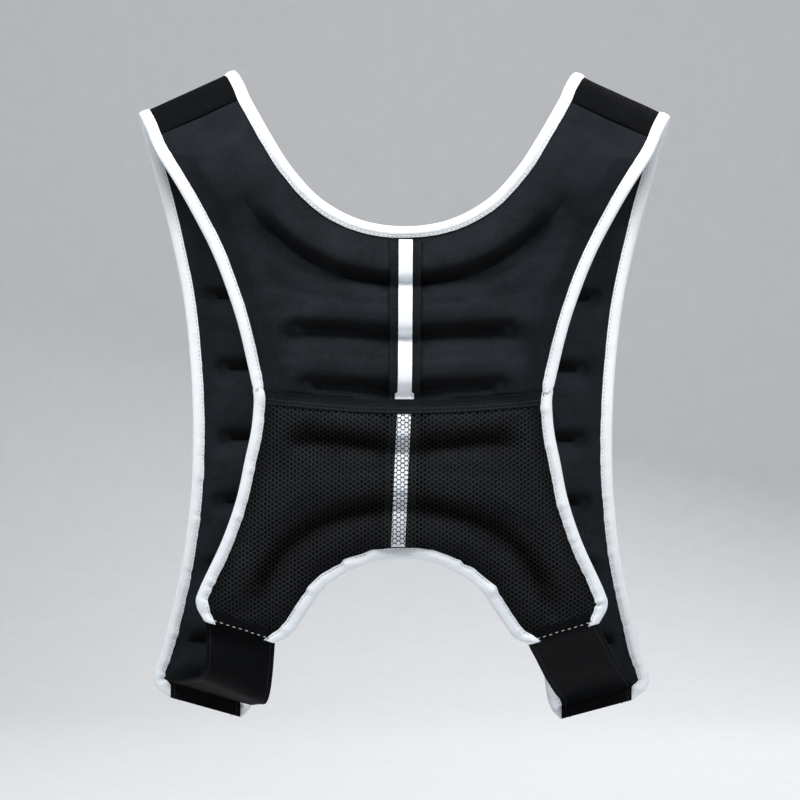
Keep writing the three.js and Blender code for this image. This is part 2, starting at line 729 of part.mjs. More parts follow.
function pocketPoint(at, over, thick) {
  const { outer, normal } = padPoint(BACK, at);
  const inner = outer.clone().addScaledVector(normal, GAP);
  if (Math.abs(at.x) < pocketBridge) {
    const reaches = [-1.5, -1, -0.5, 0, 0.5, 1, 1.5];
    const near = reaches.map((share) => webbingDepth(inner.z + share * webbingStep));
    inner.y = Math.min(inner.y, -Math.max(...near) - over);
  }
  return { inner, outer: inner.clone().addScaledVector(normal, thick) };
}

const pocketRows = backRows.filter((row) => row.s < backIndex.pocket);
pocketRows.push(backRow(backIndex.pocket - POCKET_SEAM));
const tapeTop = tapeUnder + TAPE_THICK + GAP;
const trimmed = (row) => row.places.slice(1);
const pocketGrids = [
  pocketRows.map((row) => trimmed(row).map((at) => pocketPoint(at, tapeTop, MESH_THICK))),
  hemRows.map((row) => [lastPlace(row), ...row.collar.slice(0, -1)]
    .map((at) => pocketPoint(at, tapeTop, MESH_THICK))),
];
addPiece('mesh_pocket', sheetGeometry(pocketGrids, [RIGHT, LEFT]), NET);

const bandRows = [backIndex.pocket, backIndex.pocket_mouth].map(backRow);
const pocketBandGrid = bandRows.map((row) => trimmed(row)
  .map((at) => pocketPoint(at, WEBBING_THICK + GAP, POCKET_BAND_THICK)));
addPiece('pocket_band', sheetGeometry([pocketBandGrid], [RIGHT, LEFT]), ELASTIC);

// Side straps: from behind a leg's end forward to behind a front half's end
function endFace(face, at) {
  const back = EDGE / 2 + GAP + BINDING_WALL + SIDE_STRAP_CLEAR + SIDE_STRAP_THICK / 2;
  return place(face, at).addScaledVector(placeNormal(face, at), -back);
}

// Each strap between its two seams: share of the way, and sag as a share of the slack strap's drop.
// The left one hangs to a fold, where its inner edge leads; the right one is pulled straight.
const SIDE_STRAPS = table(['name', 'side', 'innerLead', 'run'], [
  ['left', LEFT, 0.12, [[0, 1], [0.12, 1.15], [0.5, 0.7], [0.88, 0.18]]],
  ['right', RIGHT, 0, [[0.25, 0.06], [0.5, 0.1], [0.75, 0.06]]],
]);
const STRAP_STEPS = 27;
const legEnd = backRows[0];
const frontEnd = frontRows[frontRows.length - 1];

function raised(at, height) {
  return new THREE.Vector2(at.x, at.y + height);
}

function strapEdge(backAt, frontAt, lead, run) {
  const tucked = endFace(BACK, raised(backAt, SIDE_STRAP_TUCK));
  const leave = endFace(BACK, backAt);
  const sewn = endFace(FRONT, raised(frontAt, SIDE_STRAP_SEWN));
  const foot = endFace(FRONT, frontAt);
  const way = sewn.clone().sub(leave);
  const between = run.map(([forward, sag]) => {
    const at = leave.clone().addScaledVector(way, lead + (1 - lead) * forward);
    at.z -= SIDE_STRAP_DROP * sag;
    return at;
  });
  return new THREE.CatmullRomCurve3(
    [tucked, tucked.clone().lerp(leave, 0.5), leave, ...between, sewn, sewn.clone().lerp(foot, 0.5), foot],
    false,
    'centripetal',
  );
}

function strapGeometry({ side, innerLead, run }) {
  const steps = STRAP_STEPS;
  const armLine = strapEdge(legEnd.edge, frontEnd.edge, 0, run).getPoints(steps);
  const innerLine = strapEdge(legEnd.inner, frontEnd.inner, innerLead, run).getPoints(steps);
  const grid = armLine.map((arm, i) => {
    const before = armLine[Math.max(i - 1, 0)].clone().add(innerLine[Math.max(i - 1, 0)]);
    const after = armLine[Math.min(i + 1, steps)].clone().add(innerLine[Math.min(i + 1, steps)]);
    const along = after.sub(before);
    const across = innerLine[i].clone().sub(arm);
    const normal = across.clone().cross(along).normalize();
    return [0, 0.5, 1].map((t) => {
      const at = arm.clone().addScaledVector(across, t);
      return {
        outer: at.clone().addScaledVector(normal, SIDE_STRAP_THICK / 2),
        inner: at.clone().addScaledVector(normal, -SIDE_STRAP_THICK / 2),
      };
    }).reverse();
  });
  return sheetGeometry([grid], [side]);
}

for (const strap of SIDE_STRAPS) {
  addPiece(`side_strap_${strap.name}`, strapGeometry(strap), ELASTIC);
}

// Chest straps and their plain fastened buckles close the front gap
function solidFrom(geometry) {
  const bare = geometry.clone();
  bare.deleteAttribute('normal');
  bare.deleteAttribute('uv');
  const merged = mergeVertices(bare, 1e-4);
  return new wasm.Manifold(new wasm.Mesh({
    numProp: 3,
    vertProperties: new Float32Array(merged.attributes.position.array),
    triVerts: new Uint32Array(merged.index.array),
  }));
}

function geometryOf(solid) {
  const mesh = solid.getMesh();
  const geometry = new THREE.BufferGeometry();
  geometry.setAttribute('position', new THREE.BufferAttribute(new Float32Array(mesh.vertProperties), 3));
  geometry.setIndex(new THREE.BufferAttribute(new Uint32Array(mesh.triVerts), 1));
  geometry.computeVertexNormals();
  return geometry;
}

function buckleGeometry() {
  const half = BUCKLE_LENGTH / 2;
  const tall = BUCKLE_HEIGHT / 2;
  const waist = tall * BUCKLE_WAIST;
  const round = BUCKLE_ROUND;
  const outline = new THREE.Shape();
  outline.moveTo(-half + round, -tall);
  outline.quadraticCurveTo(0, -waist, half - round, -tall);
  outline.quadraticCurveTo(half, -tall, half, -tall + round);
  outline.lineTo(half, tall - round);
  outline.quadraticCurveTo(half, tall, half - round, tall);
  outline.quadraticCurveTo(0, waist, -half + round, tall);
  outline.quadraticCurveTo(-half, tall, -half, tall - round);
  outline.lineTo(-half, -tall + round);
  outline.quadraticCurveTo(-half, -tall, -half + round, -tall);
  const flat = BUCKLE_THICK - 2 * BUCKLE_BEVEL;
  const body = new THREE.ExtrudeGeometry(outline, {
    depth: flat,
    bevelEnabled: true,
    bevelThickness: BUCKLE_BEVEL,
    bevelSize: BUCKLE_BEVEL,
    bevelOffset: -BUCKLE_BEVEL,
    bevelSegments: 1,
    curveSegments: 5,
  });
  body.translate(0, 0, -flat / 2);
  const socket = new THREE.BoxGeometry(
    2 * BUCKLE_SOCKET, CHEST_STRAP_WIDTH + 2 * GAP, CHEST_STRAP_THICK + 2 * GAP,
  );
  let solid = solidFrom(body);
  for (const end of [-half, half]) {
    solid = solid.subtract(solidFrom(socket.clone().translate(end, 0, 0)));
  }
  const geometry = geometryOf(solid);
  geometry.rotateX(-Math.PI / 2);
  return geometry;
}

// The straps lie on the front halves and then run straight to the buckle, both at one depth
function chestLine(z) {
  const edge = frontRowAtHeight(z).inner.x;
  const steps = 6;
  const stations = [];
  for (let i = 0; i <= steps; i += 1) {
    const x = edge + CHEST_STRAP_HOLD * (1 - i / steps);
    const near = [-0.5, 0, 0.5].map((share) => x + share * CHEST_STRAP_HOLD / steps);
    const depths = [LEFT, RIGHT].map((side) => (
      stripDepth(frontPanels[side], FRONT, near.map((at) => side * at), z, CHEST_STRAP_WIDTH)
    ));
    stations.push({ x, depth: Math.max(...depths) + 2 * GAP });
  }
  const peak = Math.max(...stations.map((at) => at.depth));
  const top = stations.findIndex((at) => at.depth === peak);
  const line = stations.slice(0, top + 1);
  line.push({ x: BUCKLE_LENGTH / 2 - BUCKLE_SOCKET + GAP, depth: peak });
  return { line, depth: peak + CHEST_STRAP_THICK / 2 };
}

function chestStrapGeometry(line, z, side) {
  const half = CHEST_STRAP_WIDTH / 2;
  const grid = line.map((at) => [z - half, z + half].map((height) => ({
    outer: new THREE.Vector3(at.x, at.depth + CHEST_STRAP_THICK, height),
    inner: new THREE.Vector3(at.x, at.depth, height),
  })));
  return sheetGeometry([grid], [side]);
}

function frontRowAtHeight(z) {
  return frontRows.reduce((best, row) => (
    Math.abs(row.inner.y - z) < Math.abs(best.inner.y - z) ? row : best
  ));
}

const CHEST_STRAPS = table(['name', 'between'], [
  ['upper', [3, 4]],
  ['lower', [5, 6]],
]);
for (const strap of CHEST_STRAPS) {
  const [above, below] = strap.between.map((s) => frontRow(s).inner.y);
  const z = (above + below) / 2;
  const { line, depth } = chestLine(z);
  addPiece(`chest_strap_${strap.name}_left`, chestStrapGeometry(line, z, LEFT), WEBBING);
  addPiece(`chest_strap_${strap.name}_right`, chestStrapGeometry(line, z, RIGHT), WEBBING);
  const buckle = addPiece(`chest_buckle_${strap.name}`, buckleGeometry(), PLASTIC);
  buckle.position.set(0, depth, z);
}

export default vest;
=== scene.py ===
# %% [markdown]
# A padded weighted vest: one quilted back panel and two front halves in black neoprene, bound with a
# pale folded tape, hung the way it is worn. Every piece is made round the imported CAD model, in metres
# and in its frame: the back faces -Y, the open front +Y, and left is -X. The frame is loaded first, and
# a part's box can be read off it. Cloth may stand only a little proud of it.

# %% Load the frame
import math

import bpy
import numpy as np
from mathutils.bvhtree import BVHTree
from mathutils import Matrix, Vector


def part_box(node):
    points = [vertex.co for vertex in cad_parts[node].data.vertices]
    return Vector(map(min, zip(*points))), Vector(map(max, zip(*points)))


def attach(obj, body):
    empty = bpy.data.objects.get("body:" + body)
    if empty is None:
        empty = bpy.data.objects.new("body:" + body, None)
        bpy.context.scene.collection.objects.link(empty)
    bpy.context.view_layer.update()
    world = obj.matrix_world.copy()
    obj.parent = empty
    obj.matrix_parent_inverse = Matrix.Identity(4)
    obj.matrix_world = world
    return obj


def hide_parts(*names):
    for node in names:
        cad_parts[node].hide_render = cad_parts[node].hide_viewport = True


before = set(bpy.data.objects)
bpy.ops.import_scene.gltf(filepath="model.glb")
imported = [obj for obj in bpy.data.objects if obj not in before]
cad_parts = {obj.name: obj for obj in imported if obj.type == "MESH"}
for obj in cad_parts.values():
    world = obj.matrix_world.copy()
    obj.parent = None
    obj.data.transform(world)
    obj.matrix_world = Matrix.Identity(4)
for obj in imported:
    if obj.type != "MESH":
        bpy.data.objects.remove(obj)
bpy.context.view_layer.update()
MM = 0.001

# %% [markdown]
# The camera stands straight behind the wearer, level with the middle of the back, with a long lens, so
# the two front halves show past both sides of the back. The floor sweeps up into a backdrop, and big
# soft lamps from above let the puffs catch light on their upper halves and go dark above each seam.

# %% Camera, floor and lamps
scene = bpy.context.scene
CAMERA_AT = (-0.0021, -2.4, -0.224)
LENS_MM, CAMERA_ROLL = 145.3, math.radians(-0.32)
lens = bpy.data.cameras.new("camera")
lens.lens = LENS_MM
lens.sensor_width = 36
camera = bpy.data.objects.new("camera", lens)
camera.location = CAMERA_AT
camera.rotation_euler = (math.pi / 2, CAMERA_ROLL, 0)
scene.collection.objects.link(camera)
scene.camera = camera
scene.view_settings.view_transform = "Standard"


def lamp(name, place, aim, size, watts, colour=(1, 1, 1)):
    light = bpy.data.lights.new(name, "AREA")
    light.shape = "RECTANGLE"
    light.size, light.size_y = size
    light.energy = watts
    light.color = colour
    thing = bpy.data.objects.new(name, light)
    thing.location = place
    to = np.subtract(aim, place)
    tilt = math.atan2(math.hypot(to[0], to[1]), -to[2])
    thing.rotation_euler = (tilt, 0, math.atan2(to[1], to[0]) - math.pi / 2)
    scene.collection.objects.link(thing)


MIDDLE = (0, 0, -0.22)
lamp("key_left", (-0.95, -1.05, 1.75), MIDDLE, (0.9, 0.6), 50)
lamp("key_right", (0.95, -1.05, 1.75), MIDDLE, (0.9, 0.6), 44)
lamp("fill_back", (0.3, -2.2, 0.1), MIDDLE, (1.0, 1.2), 4)
lamp("front_side", (0.5, 1.7, 0.7), MIDDLE, (1.4, 1.2), 22)
world = bpy.data.worlds.new("studio")
scene.world = world
world.use_nodes = True
sky = world.node_tree.nodes["Background"]
sky.inputs["Color"].default_value = (0.86, 0.9, 0.95, 1)
sky.inputs["Strength"].default_value = 0.16

# %% [markdown]
# Materials are node trees. Three effects are used by more than one of them, so each is a group built
# once: a cloth grain (fine knit and slow shading), a ribbed weave, and a little dust and wear. The
# groups give heights and masks; each material keeps its own shader and its own gloss.

# %% Helpers for node trees


def add(tree, kind, inputs=None, **settings):
    """One node of a tree. An input is a number, a colour or another node's output."""
    node = tree.nodes.new(kind)
    for key, value in settings.items():
        setattr(node, key, value)
    for key, value in (inputs or {}).items():
        if isinstance(value, bpy.types.NodeSocket):
            tree.links.new(value, node.inputs[key])
        else:
            node.inputs[key].default_value = value
    return node


def group_tree(name, kind, inputs, outputs):
    """An empty group with named inputs, given with their start values, and named outputs."""
    tree = bpy.data.node_groups.new(name, kind)
    for label, (socket, value) in inputs.items():
        made = tree.interface.new_socket(label, in_out="INPUT", socket_type=socket)
        if value is not None:
            made.default_value = value
    for label, socket in outputs.items():
        tree.interface.new_socket(label, in_out="OUTPUT", socket_type=socket)
    return tree, tree.nodes.new("NodeGroupInput"), tree.nodes.new("NodeGroupOutput")


def maths(tree, operation, a, b=0.0, c=0.0):
    return add(tree, "ShaderNodeMath", {0: a, 1: b, 2: c}, operation=operation).outputs[0]


def mixed(tree, share, low, high):
    """A colour that is low where the share is nothing and high where it is full."""
    return add(tree, "ShaderNodeMix", {0: share, 6: low, 7: high}, data_type="RGBA").outputs[2]


FLOAT, VECTOR = "NodeSocketFloat", "NodeSocketVector"

# %% Shared effects: knit grain, ribbed weave, dust
grain, start, end = group_tree(
    "knit_grain", "ShaderNodeTree", {"Vector": (VECTOR, None), "Loops per Metre": (FLOAT, 1400.0)},
    {"Height": FLOAT, "Shade": FLOAT})
loops = add(grain, "ShaderNodeTexVoronoi", {"Vector": start.outputs[0], "Scale": start.outputs[1]})
fuzz = add(grain, "ShaderNodeTexNoise", {
    "Vector": start.outputs[0], "Scale": maths(grain, "MULTIPLY", start.outputs[1], 0.55), "Detail": 3.0})
slow = add(grain, "ShaderNodeTexNoise", {"Vector": start.outputs[0], "Scale": 38.0, "Detail": 4.0})
grain_height = maths(grain, "ADD", maths(grain, "MULTIPLY", loops.outputs["Distance"], 0.6),
                     maths(grain, "MULTIPLY", fuzz.outputs["Fac"], 0.9))
grain_shade = maths(grain, "MULTIPLY_ADD", slow.outputs["Fac"], 0.55,
                    maths(grain, "MULTIPLY", fuzz.outputs["Fac"], 0.5))
grain.links.new(grain_height, end.inputs["Height"])
grain.links.new(grain_shade, end.inputs["Shade"])

weave, start, end = group_tree(
    "ribbed_weave", "ShaderNodeTree",
    {"Vector": (VECTOR, None), "Across per Metre": (FLOAT, 900.0), "Along per Metre": (FLOAT, 900.0)},
    {"Height": FLOAT, "Shade": FLOAT})
parts = add(weave, "ShaderNodeSeparateXYZ", {0: start.outputs[0]})
across = maths(weave, "SINE", maths(weave, "MULTIPLY", parts.outputs[0], start.outputs[1]))
along = maths(weave, "SINE", maths(weave, "MULTIPLY", parts.outputs[2], start.outputs[2]))
crossing = maths(weave, "MULTIPLY", across, along)
fray = add(weave, "ShaderNodeTexNoise", {"Vector": start.outputs[0], "Scale": 900.0, "Detail": 2.0})
weave_height = maths(weave, "MULTIPLY_ADD", crossing, 0.5, fray.outputs["Fac"])
weave.links.new(weave_height, end.inputs["Height"])
weave.links.new(maths(weave, "MULTIPLY_ADD", crossing, 0.25, fray.outputs["Fac"]), end.inputs["Shade"])

dust, start, end = group_tree(
    "dust", "ShaderNodeTree", {"Vector": (VECTOR, None), "Amount": (FLOAT, 0.3)}, {"Mask": FLOAT})
specks = add(dust, "ShaderNodeTexNoise", {"Vector": start.outputs[0], "Scale": 620.0, "Detail": 2.0})
cloudy = add(dust, "ShaderNodeTexNoise", {"Vector": start.outputs[0], "Scale": 17.0, "Detail": 5.0})
sparse = add(dust, "ShaderNodeMapRange", {
    "Value": maths(dust, "MULTIPLY", specks.outputs["Fac"], cloudy.outputs["Fac"]),
    "From Min": 0.3, "From Max": 0.5, "To Min": 0.0, "To Max": start.outputs[1]})
dust.links.new(sparse.outputs[0], end.inputs["Mask"])
print("Shared effects:", grain.name, weave.name, dust.name)

# %% [markdown]
# A finish is then one call: two colours that the effect mixes, the relief it gives, the gloss and the
# sheen. Neoprene has a jersey face that greys a little where it turns away; the binding and the strip
# are pale retroreflective tape; the straps are woven; the buckles are moulded plastic. The neoprene and
# the net also go to a painted shade colour where the attribute "fold" says that little light gets in;
# the pale tapes get painted bluish shade lower down, and the reflective tape painted shadow over creases.

# %% Finishes
LINT, CREASE_SHADE = (0.13, 0.135, 0.14, 1), (0.3, 0.38, 0.5, 1)
CREASE_FADE, CREASE_SHARE = 0.0045, 0.75  # metres above a crease of the tape that are in its shadow
SHEEN_ROUGHNESS, SHEEN_TINT = 0.45, (0.7, 0.8, 1.0, 1)


def finish(name, low, high, effect, relief, roughness, scale=None, sheen=0.0, metallic=0.0, specular=0.5,
           dusty=0.0, gloss_swing=0.1, painted_low_shade=None, creases=(), painted_shade_colour=None):
    """A procedural material: the effect's shade mixes two colours, and its height is the relief in metres."""
    material = bpy.data.materials.new(name)
    material.use_nodes = True
    tree = material.node_tree
    shader = tree.nodes["Principled BSDF"]
    where = add(tree, "ShaderNodeTexCoord").outputs["Object"]
    look = add(tree, "ShaderNodeGroup", {}, node_tree=effect)
    tree.links.new(where, look.inputs["Vector"])
    for key, value in (scale or {}).items():
        look.inputs[key].default_value = value
    shade = add(tree, "ShaderNodeMapRange", {
        "Value": look.outputs["Shade"], "From Min": 0.3, "From Max": 0.8}).outputs[0]
    colour = mixed(tree, shade, (*low, 1), (*high, 1))
    # Painted shade: the pale tapes go bluish grey in soft patches lower down, from the height top to foot.
    if painted_low_shade:
        shadow_tint, top, foot = painted_low_shade
        height = add(tree, "ShaderNodeSeparateXYZ", {0: where}).outputs[2]
        patch = add(tree, "ShaderNodeTexNoise", {"Vector": where, "Scale": 34.0, "Detail": 3.0})
        fall = add(tree, "ShaderNodeMapRange", {"Value": height, "From Min": top, "From Max": foot})
        soft = maths(tree, "MULTIPLY", fall.outputs[0], patch.outputs["Fac"])
        colour = mixed(tree, soft, colour, (*shadow_tint, 1))
    for crease in creases:
        height = add(tree, "ShaderNodeSeparateXYZ", {0: where}).outputs[2]
        rise = maths(tree, "MULTIPLY", maths(tree, "SUBTRACT", height, crease), 1 / CREASE_FADE)
        fade = maths(tree, "MULTIPLY", maths(tree, "SUBTRACT", 1.0, maths(tree, "MINIMUM", rise, 1.0)),
                     maths(tree, "GREATER_THAN", rise, 0.0))
        colour = mixed(tree, maths(tree, "MULTIPLY", fade, CREASE_SHARE), colour, CREASE_SHADE)
    # Painted shade: the colour goes towards a near black wherever the attribute "fold" is high.
    if painted_shade_colour:
        fold = add(tree, "ShaderNodeAttribute", attribute_name="fold").outputs["Fac"]
        colour = mixed(tree, fold, colour, (*painted_shade_colour, 1))
    if dusty:
        lint = add(tree, "ShaderNodeGroup", {}, node_tree=dust)
        tree.links.new(where, lint.inputs["Vector"])
        lint.inputs["Amount"].default_value = dusty
        colour = mixed(tree, lint.outputs["Mask"], colour, LINT)
    tree.links.new(colour, shader.inputs["Base Color"])
    rough = add(tree, "ShaderNodeMapRange", {
        "Value": shade, "To Min": roughness + gloss_swing / 2, "To Max": roughness - gloss_swing / 2})
    tree.links.new(rough.outputs[0], shader.inputs["Roughness"])
    bump = add(tree, "ShaderNodeBump", {
        "Height": look.outputs["Height"], "Distance": relief, "Strength": 1.0})
    tree.links.new(bump.outputs[0], shader.inputs["Normal"])
    shader.inputs["Metallic"].default_value = metallic
    shader.inputs["Specular IOR Level"].default_value = specular
    shader.inputs["Sheen Weight"].default_value = sheen
    shader.inputs["Sheen Roughness"].default_value = SHEEN_ROUGHNESS
    shader.inputs["Sheen Tint"].default_value = SHEEN_TINT
    material.diffuse_color = (*high, 1)
    return material


# The neoprene's near-black last colour is painted shade, used where the attribute "fold" is high.
NEOPRENE = finish("jersey_neoprene", (0.0022, 0.003, 0.004), (0.0125, 0.0165, 0.0215), grain, 0.0002, 0.8,
                  {"Loops per Metre": 1300.0}, sheen=0.012, specular=0.13, dusty=0.03,
                  painted_shade_colour=(0.0006, 0.0007, 0.0009))
# The binding's bluish grey, growing lower down, is painted shade.
BINDING = finish("pale_binding_tape", (0.8, 0.84, 0.87), (0.9, 0.925, 0.94), weave, 0.00006, 0.6,
                 {"Across per Metre": 5200.0, "Along per Metre": 5200.0}, specular=0.35,
                 painted_low_shade=((0.42, 0.49, 0.58), -0.2, -0.75))
ELASTIC = finish("ribbed_elastic", (0.0008, 0.001, 0.0013), (0.0036, 0.0043, 0.0052), weave, 0.0002, 0.75,
                 {"Across per Metre": 2800.0, "Along per Metre": 2500.0}, specular=0.07, dusty=0.02)
KNIT_EDGE = finish("knit_pocket_edge", (0.003, 0.0036, 0.0044), (0.0095, 0.0112, 0.0132), weave, 0.00008,
                   0.75, {"Across per Metre": 7000.0, "Along per Metre": 7000.0}, specular=0.1, dusty=0.03)
WEBBING = finish("black_webbing", (0.0012, 0.0016, 0.0021), (0.0075, 0.0092, 0.0112), weave, 0.00012, 0.62,
                 {"Across per Metre": 6200.0, "Along per Metre": 4600.0}, specular=0.13)
# The reflective tape's bluish grey lower down is painted shade; the crease colour over each crease height is
# painted shadow.
REFLECTIVE = finish("reflective_tape", (0.76, 0.8, 0.85), (0.9, 0.925, 0.95), grain, 0.00002, 0.42,
                    {"Loops per Metre": 5200.0}, metallic=0.05, specular=0.5,
                    painted_low_shade=((0.5, 0.6, 0.74), -0.2, -0.75), creases=(-0.1403, -0.1804, -0.2526, -0.2925))
# The net's near-black last colour is painted shade, used where the attribute "fold" is high.
NET = finish("pocket_net", (0.009, 0.0105, 0.012), (0.03, 0.034, 0.039), grain, 0.00003, 0.55,
             {"Loops per Metre": 3000.0}, specular=0.2, painted_shade_colour=(0.0008, 0.0009, 0.0011))
PLASTIC = finish("moulded_buckle", (0.009, 0.009, 0.01), (0.013, 0.013, 0.0145), grain, 0.000012, 0.42,
                 {"Loops per Metre": 2400.0}, specular=0.5, gloss_swing=0.06, dusty=0.08)
DARK_THREAD = finish("black_thread", (0.0015, 0.0016, 0.002), (0.005, 0.0053, 0.006), grain, 0.00002, 0.7,
                     {"Loops per Metre": 4000.0}, specular=0.1)
DIM_THREAD = finish("dim_thread", (0.02, 0.0215, 0.024), (0.045, 0.048, 0.053), grain, 0.00002, 0.6,
                    {"Loops per Metre": 4000.0})
PALE_THREAD = finish("pale_thread", (0.3, 0.31, 0.33), (0.55, 0.56, 0.58), grain, 0.00002, 0.6,
                     {"Loops per Metre": 4000.0})
GREY_THREAD = finish("grey_thread", (0.2, 0.23, 0.27), (0.36, 0.4, 0.45), grain, 0.00002, 0.6,
                     {"Loops per Metre": 4000.0})
BACKDROP = finish("studio_paper", (0.6, 0.607, 0.62), (0.63, 0.637, 0.65), grain, 0.00002, 0.85,
                  {"Loops per Metre": 90.0}, specular=0.15)

# %% Floor that sweeps up into the backdrop
FLOOR_Z, FLOOR_FROM, SWEEP_FROM, SWEEP_RADIUS, SWEEP_TOP = -0.62, -3.6, 1.6, 0.9, 3.4
SWEEP_STEPS, PAPER_HALF = 24, 4
profile = [(FLOOR_FROM, FLOOR_Z), (SWEEP_FROM, FLOOR_Z)]
for i in range(1, SWEEP_STEPS + 1):
    turn = math.pi / 2 * i / SWEEP_STEPS
    rise = SWEEP_RADIUS * (1 - math.cos(turn))
    profile.append((SWEEP_FROM + SWEEP_RADIUS * math.sin(turn), FLOOR_Z + rise))
profile.append((SWEEP_FROM + SWEEP_RADIUS, SWEEP_TOP))
paper = bpy.data.meshes.new("paper")
paper.from_pydata([(x, y, z) for y, z in profile for x in (-PAPER_HALF, PAPER_HALF)], [],
                  [(2 * i, 2 * i + 1, 2 * i + 3, 2 * i + 2) for i in range(len(profile) - 1)])
paper.materials.append(BACKDROP)
for polygon in paper.polygons:
    polygon.use_smooth = True
floor = bpy.data.objects.new("paper", paper)
scene.collection.objects.link(floor)

# %% [markdown]
# The vest's form follows a few rules: a ridge along the shoulders, an arch that turns upright below it,
# and some extra depth along the middle of the back and the chest. These sizes are the CAD's, in
# millimetres, so a fine cloth made from them lies just where the CAD solid is.

# %% Sizes of the body form
SHOULDER_REACH, NECK_REACH, SHOULDER_FALL, SHOULDER_ARCH, RIDGE_ROUND = 196, 127, 32, 95, 20
BACK_LENGTH, FRONT_LENGTH, LEG_SPREAD, FRONT_GAP = 392, 457, 143, 70
SWELL_REACH, FULL_SWELL, SEAM_TURN = 90, 0.87, math.radians(43)
EDGE, PAD_OUT, PAD_IN, PAD_RISE, COLLAR, TUCK = 3.6, 9, 4, 15, 40, 8
COVER, GAP, WALL = 7.6, 0.3, 1
BACK, FRONT = -1, 1
FORM = {BACK: (62, 34, 0.28, BACK_LENGTH), FRONT: (66, 30, 0.2, FRONT_LENGTH)}


def ridge_height(x):
    middle = (SHOULDER_REACH + NECK_REACH) / 2
    return EDGE / 2 + SHOULDER_FALL * (middle - np.hypot(x, RIDGE_ROUND)) / (SHOULDER_REACH - NECK_REACH)


def body_point(face, x, drop):
    """Points of the middle surface at a drop below the ridge."""
    depth, swell, lean, length = FORM[face]
    z = ridge_height(x) - drop
    arch = np.minimum(drop / SHOULDER_ARCH, 1)
    below = np.maximum(drop - SHOULDER_ARCH, 0) / (length - SHOULDER_ARCH)
    upright = depth * np.sqrt(np.maximum(1 - (1 - arch) ** 2, 0)) * (1 - lean * below ** 2)
    rise = np.sin(np.minimum(np.maximum(-z, 0) / (FULL_SWELL * length), 1) * np.pi / 2)
    return np.stack([x, face * (upright + swell * rise * np.exp(-(x / SWELL_REACH) ** 2)), z], -1)


def place(face, at):
    """Points of the middle surface over or under places (x, z)."""
    x, z = at[..., 0], at[..., 1]
    return body_point(face, x, np.maximum(ridge_height(x) - z, 0))


def arch_point(x, turn):
    """Points over the shoulder at a turn either side of the ridge."""
    drop = SHOULDER_ARCH * (1 - np.cos(turn))
    return np.where((turn < 0)[..., None], body_point(BACK, x, drop), body_point(FRONT, x, drop))


def unit(v):
    return v / np.maximum(np.linalg.norm(v, axis=-1, keepdims=True), 1e-12)


def facing(normal, outward):
    return np.where((normal * outward).sum(-1, keepdims=True) < 0, -normal, normal)


def place_normal(face, at):
    dx, dz = np.array([0.5, 0]), np.array([0, 0.5])
    up, aside = place(face, at + dz) - place(face, at - dz), place(face, at + dx) - place(face, at - dx)
    return facing(unit(np.cross(up, aside)), np.array([0, face, 0]))


def arch_normal(x, turn):
    step = 0.02
    n = unit(np.cross(arch_point(x, turn + step) - arch_point(x, turn - step),
                      arch_point(x + 0.5, turn) - arch_point(x - 0.5, turn)))
    return facing(n, np.stack([0 * turn, np.sin(turn), np.cos(turn)], -1))


print("Middle surface at the pocket's middle, in mm:", place(BACK, np.array([0.0, -260.0])).round(1))

# %% [markdown]
# The outline of each panel is a short table of shares, joined by a smooth curve. The same rows give the
# lines of quilting, so a seam always runs along a row of the cloth's mesh and can be sharp.

# %% Outlines
BACK_ROWS = {
    "leg_end": (0.729, 0.984, 0.651, 1.022), "leg_corner": (0.758, 0.952, 0.574, 1.007),
    "leg": (0.743, 0.922, 0.512, 0.975), "leg_top": (0.662, 0.835, 0.384, 0.912),
    "hem_side": (0.607, 0.756, 0.201, 0.873), "hem_middle": (0.575, 0.682, 0, 0.86),
    "lower_seam": (0.552, 0.627, 0, 0.654), "pocket": (0.543, 0.575, 0, 0.592),
    "pocket_mouth": (0.547, 0.555, 0, 0.571), "middle_seam": (0.551, 0.542, 0, 0.555),
    "upper_seam": (0.601, 0.437, 0, 0.456), "neck_middle": (0.653, 0.359, 0, 0.256),
    "neck_low": (0.703, 0.298, 0.249, 0.244), "neck_side": (0.757, 0.245, 0.4745, 0.205),
    "neck_high": (0.828, 0.182, 0.6415, 0.148), "neck_top": (0.909, 0.119, 0.7645, 0.087)}
FRONT_ROWS = {
    "strap": (0.961, 0.116, 0.929, 0, 0.073), "breast": (0.904, 0.213, 0.783, 0, 0.181),
    "seam_1": (0.851, 0.321, 0.195, 0.5, 0.321), "seam_2": (0.82, 0.44, 0.009, 0.5, 0.44),
    "seam_3": (0.81, 0.557, 0.003, 0.5, 0.557), "seam_4": (0.819, 0.662, 0.1, 0.5, 0.663),
    "seam_5": (0.851, 0.77, 0.339, 0.5, 0.771), "seam_6": (0.912, 0.89, 0.553, 0.5, 0.899),
    "end_corner": (0.954, 0.956, 0.617, 0.5, 0.99), "end": (0.892, 0.987, 0.688, 0.5, 1.019)}
BAND_ROWS = [(0.94, 0.904), (0.979, 0.962), (1, 1), (1, 0.999), (0.978, 0.983)]
row_of = {name: i for i, name in enumerate(BACK_ROWS)}
HEM_AT, NECK_AT, BACK_TOP = row_of["hem_middle"], row_of["neck_middle"], len(BACK_ROWS)
FRONT_FOOT = len(FRONT_ROWS)


def seam_place(x):
    return np.array([x, ridge_height(x) - SHOULDER_ARCH * (1 - math.cos(SEAM_TURN))])


def curve_at(points, s, before=None, after=None):
    """Smooth curve through a row of points at index s; before and after guide its two ends."""
    points = np.asarray(points, float)
    s = np.atleast_1d(np.asarray(s, float))
    before = 2 * points[0] - points[1] if before is None else before
    after = 2 * points[-1] - points[-2] if after is None else after
    row = np.vstack([before, points, after])
    i = np.clip(s.astype(int), 0, len(points) - 2)
    t = (s - i)[:, None]
    a, b, c, d = (row[i + k] for k in range(4))
    m, n = (c - a) / 2, (d - b) / 2
    return (((2 * b - 2 * c + m + n) * t + 3 * c - 3 * b - 2 * m - n) * t + m) * t + b


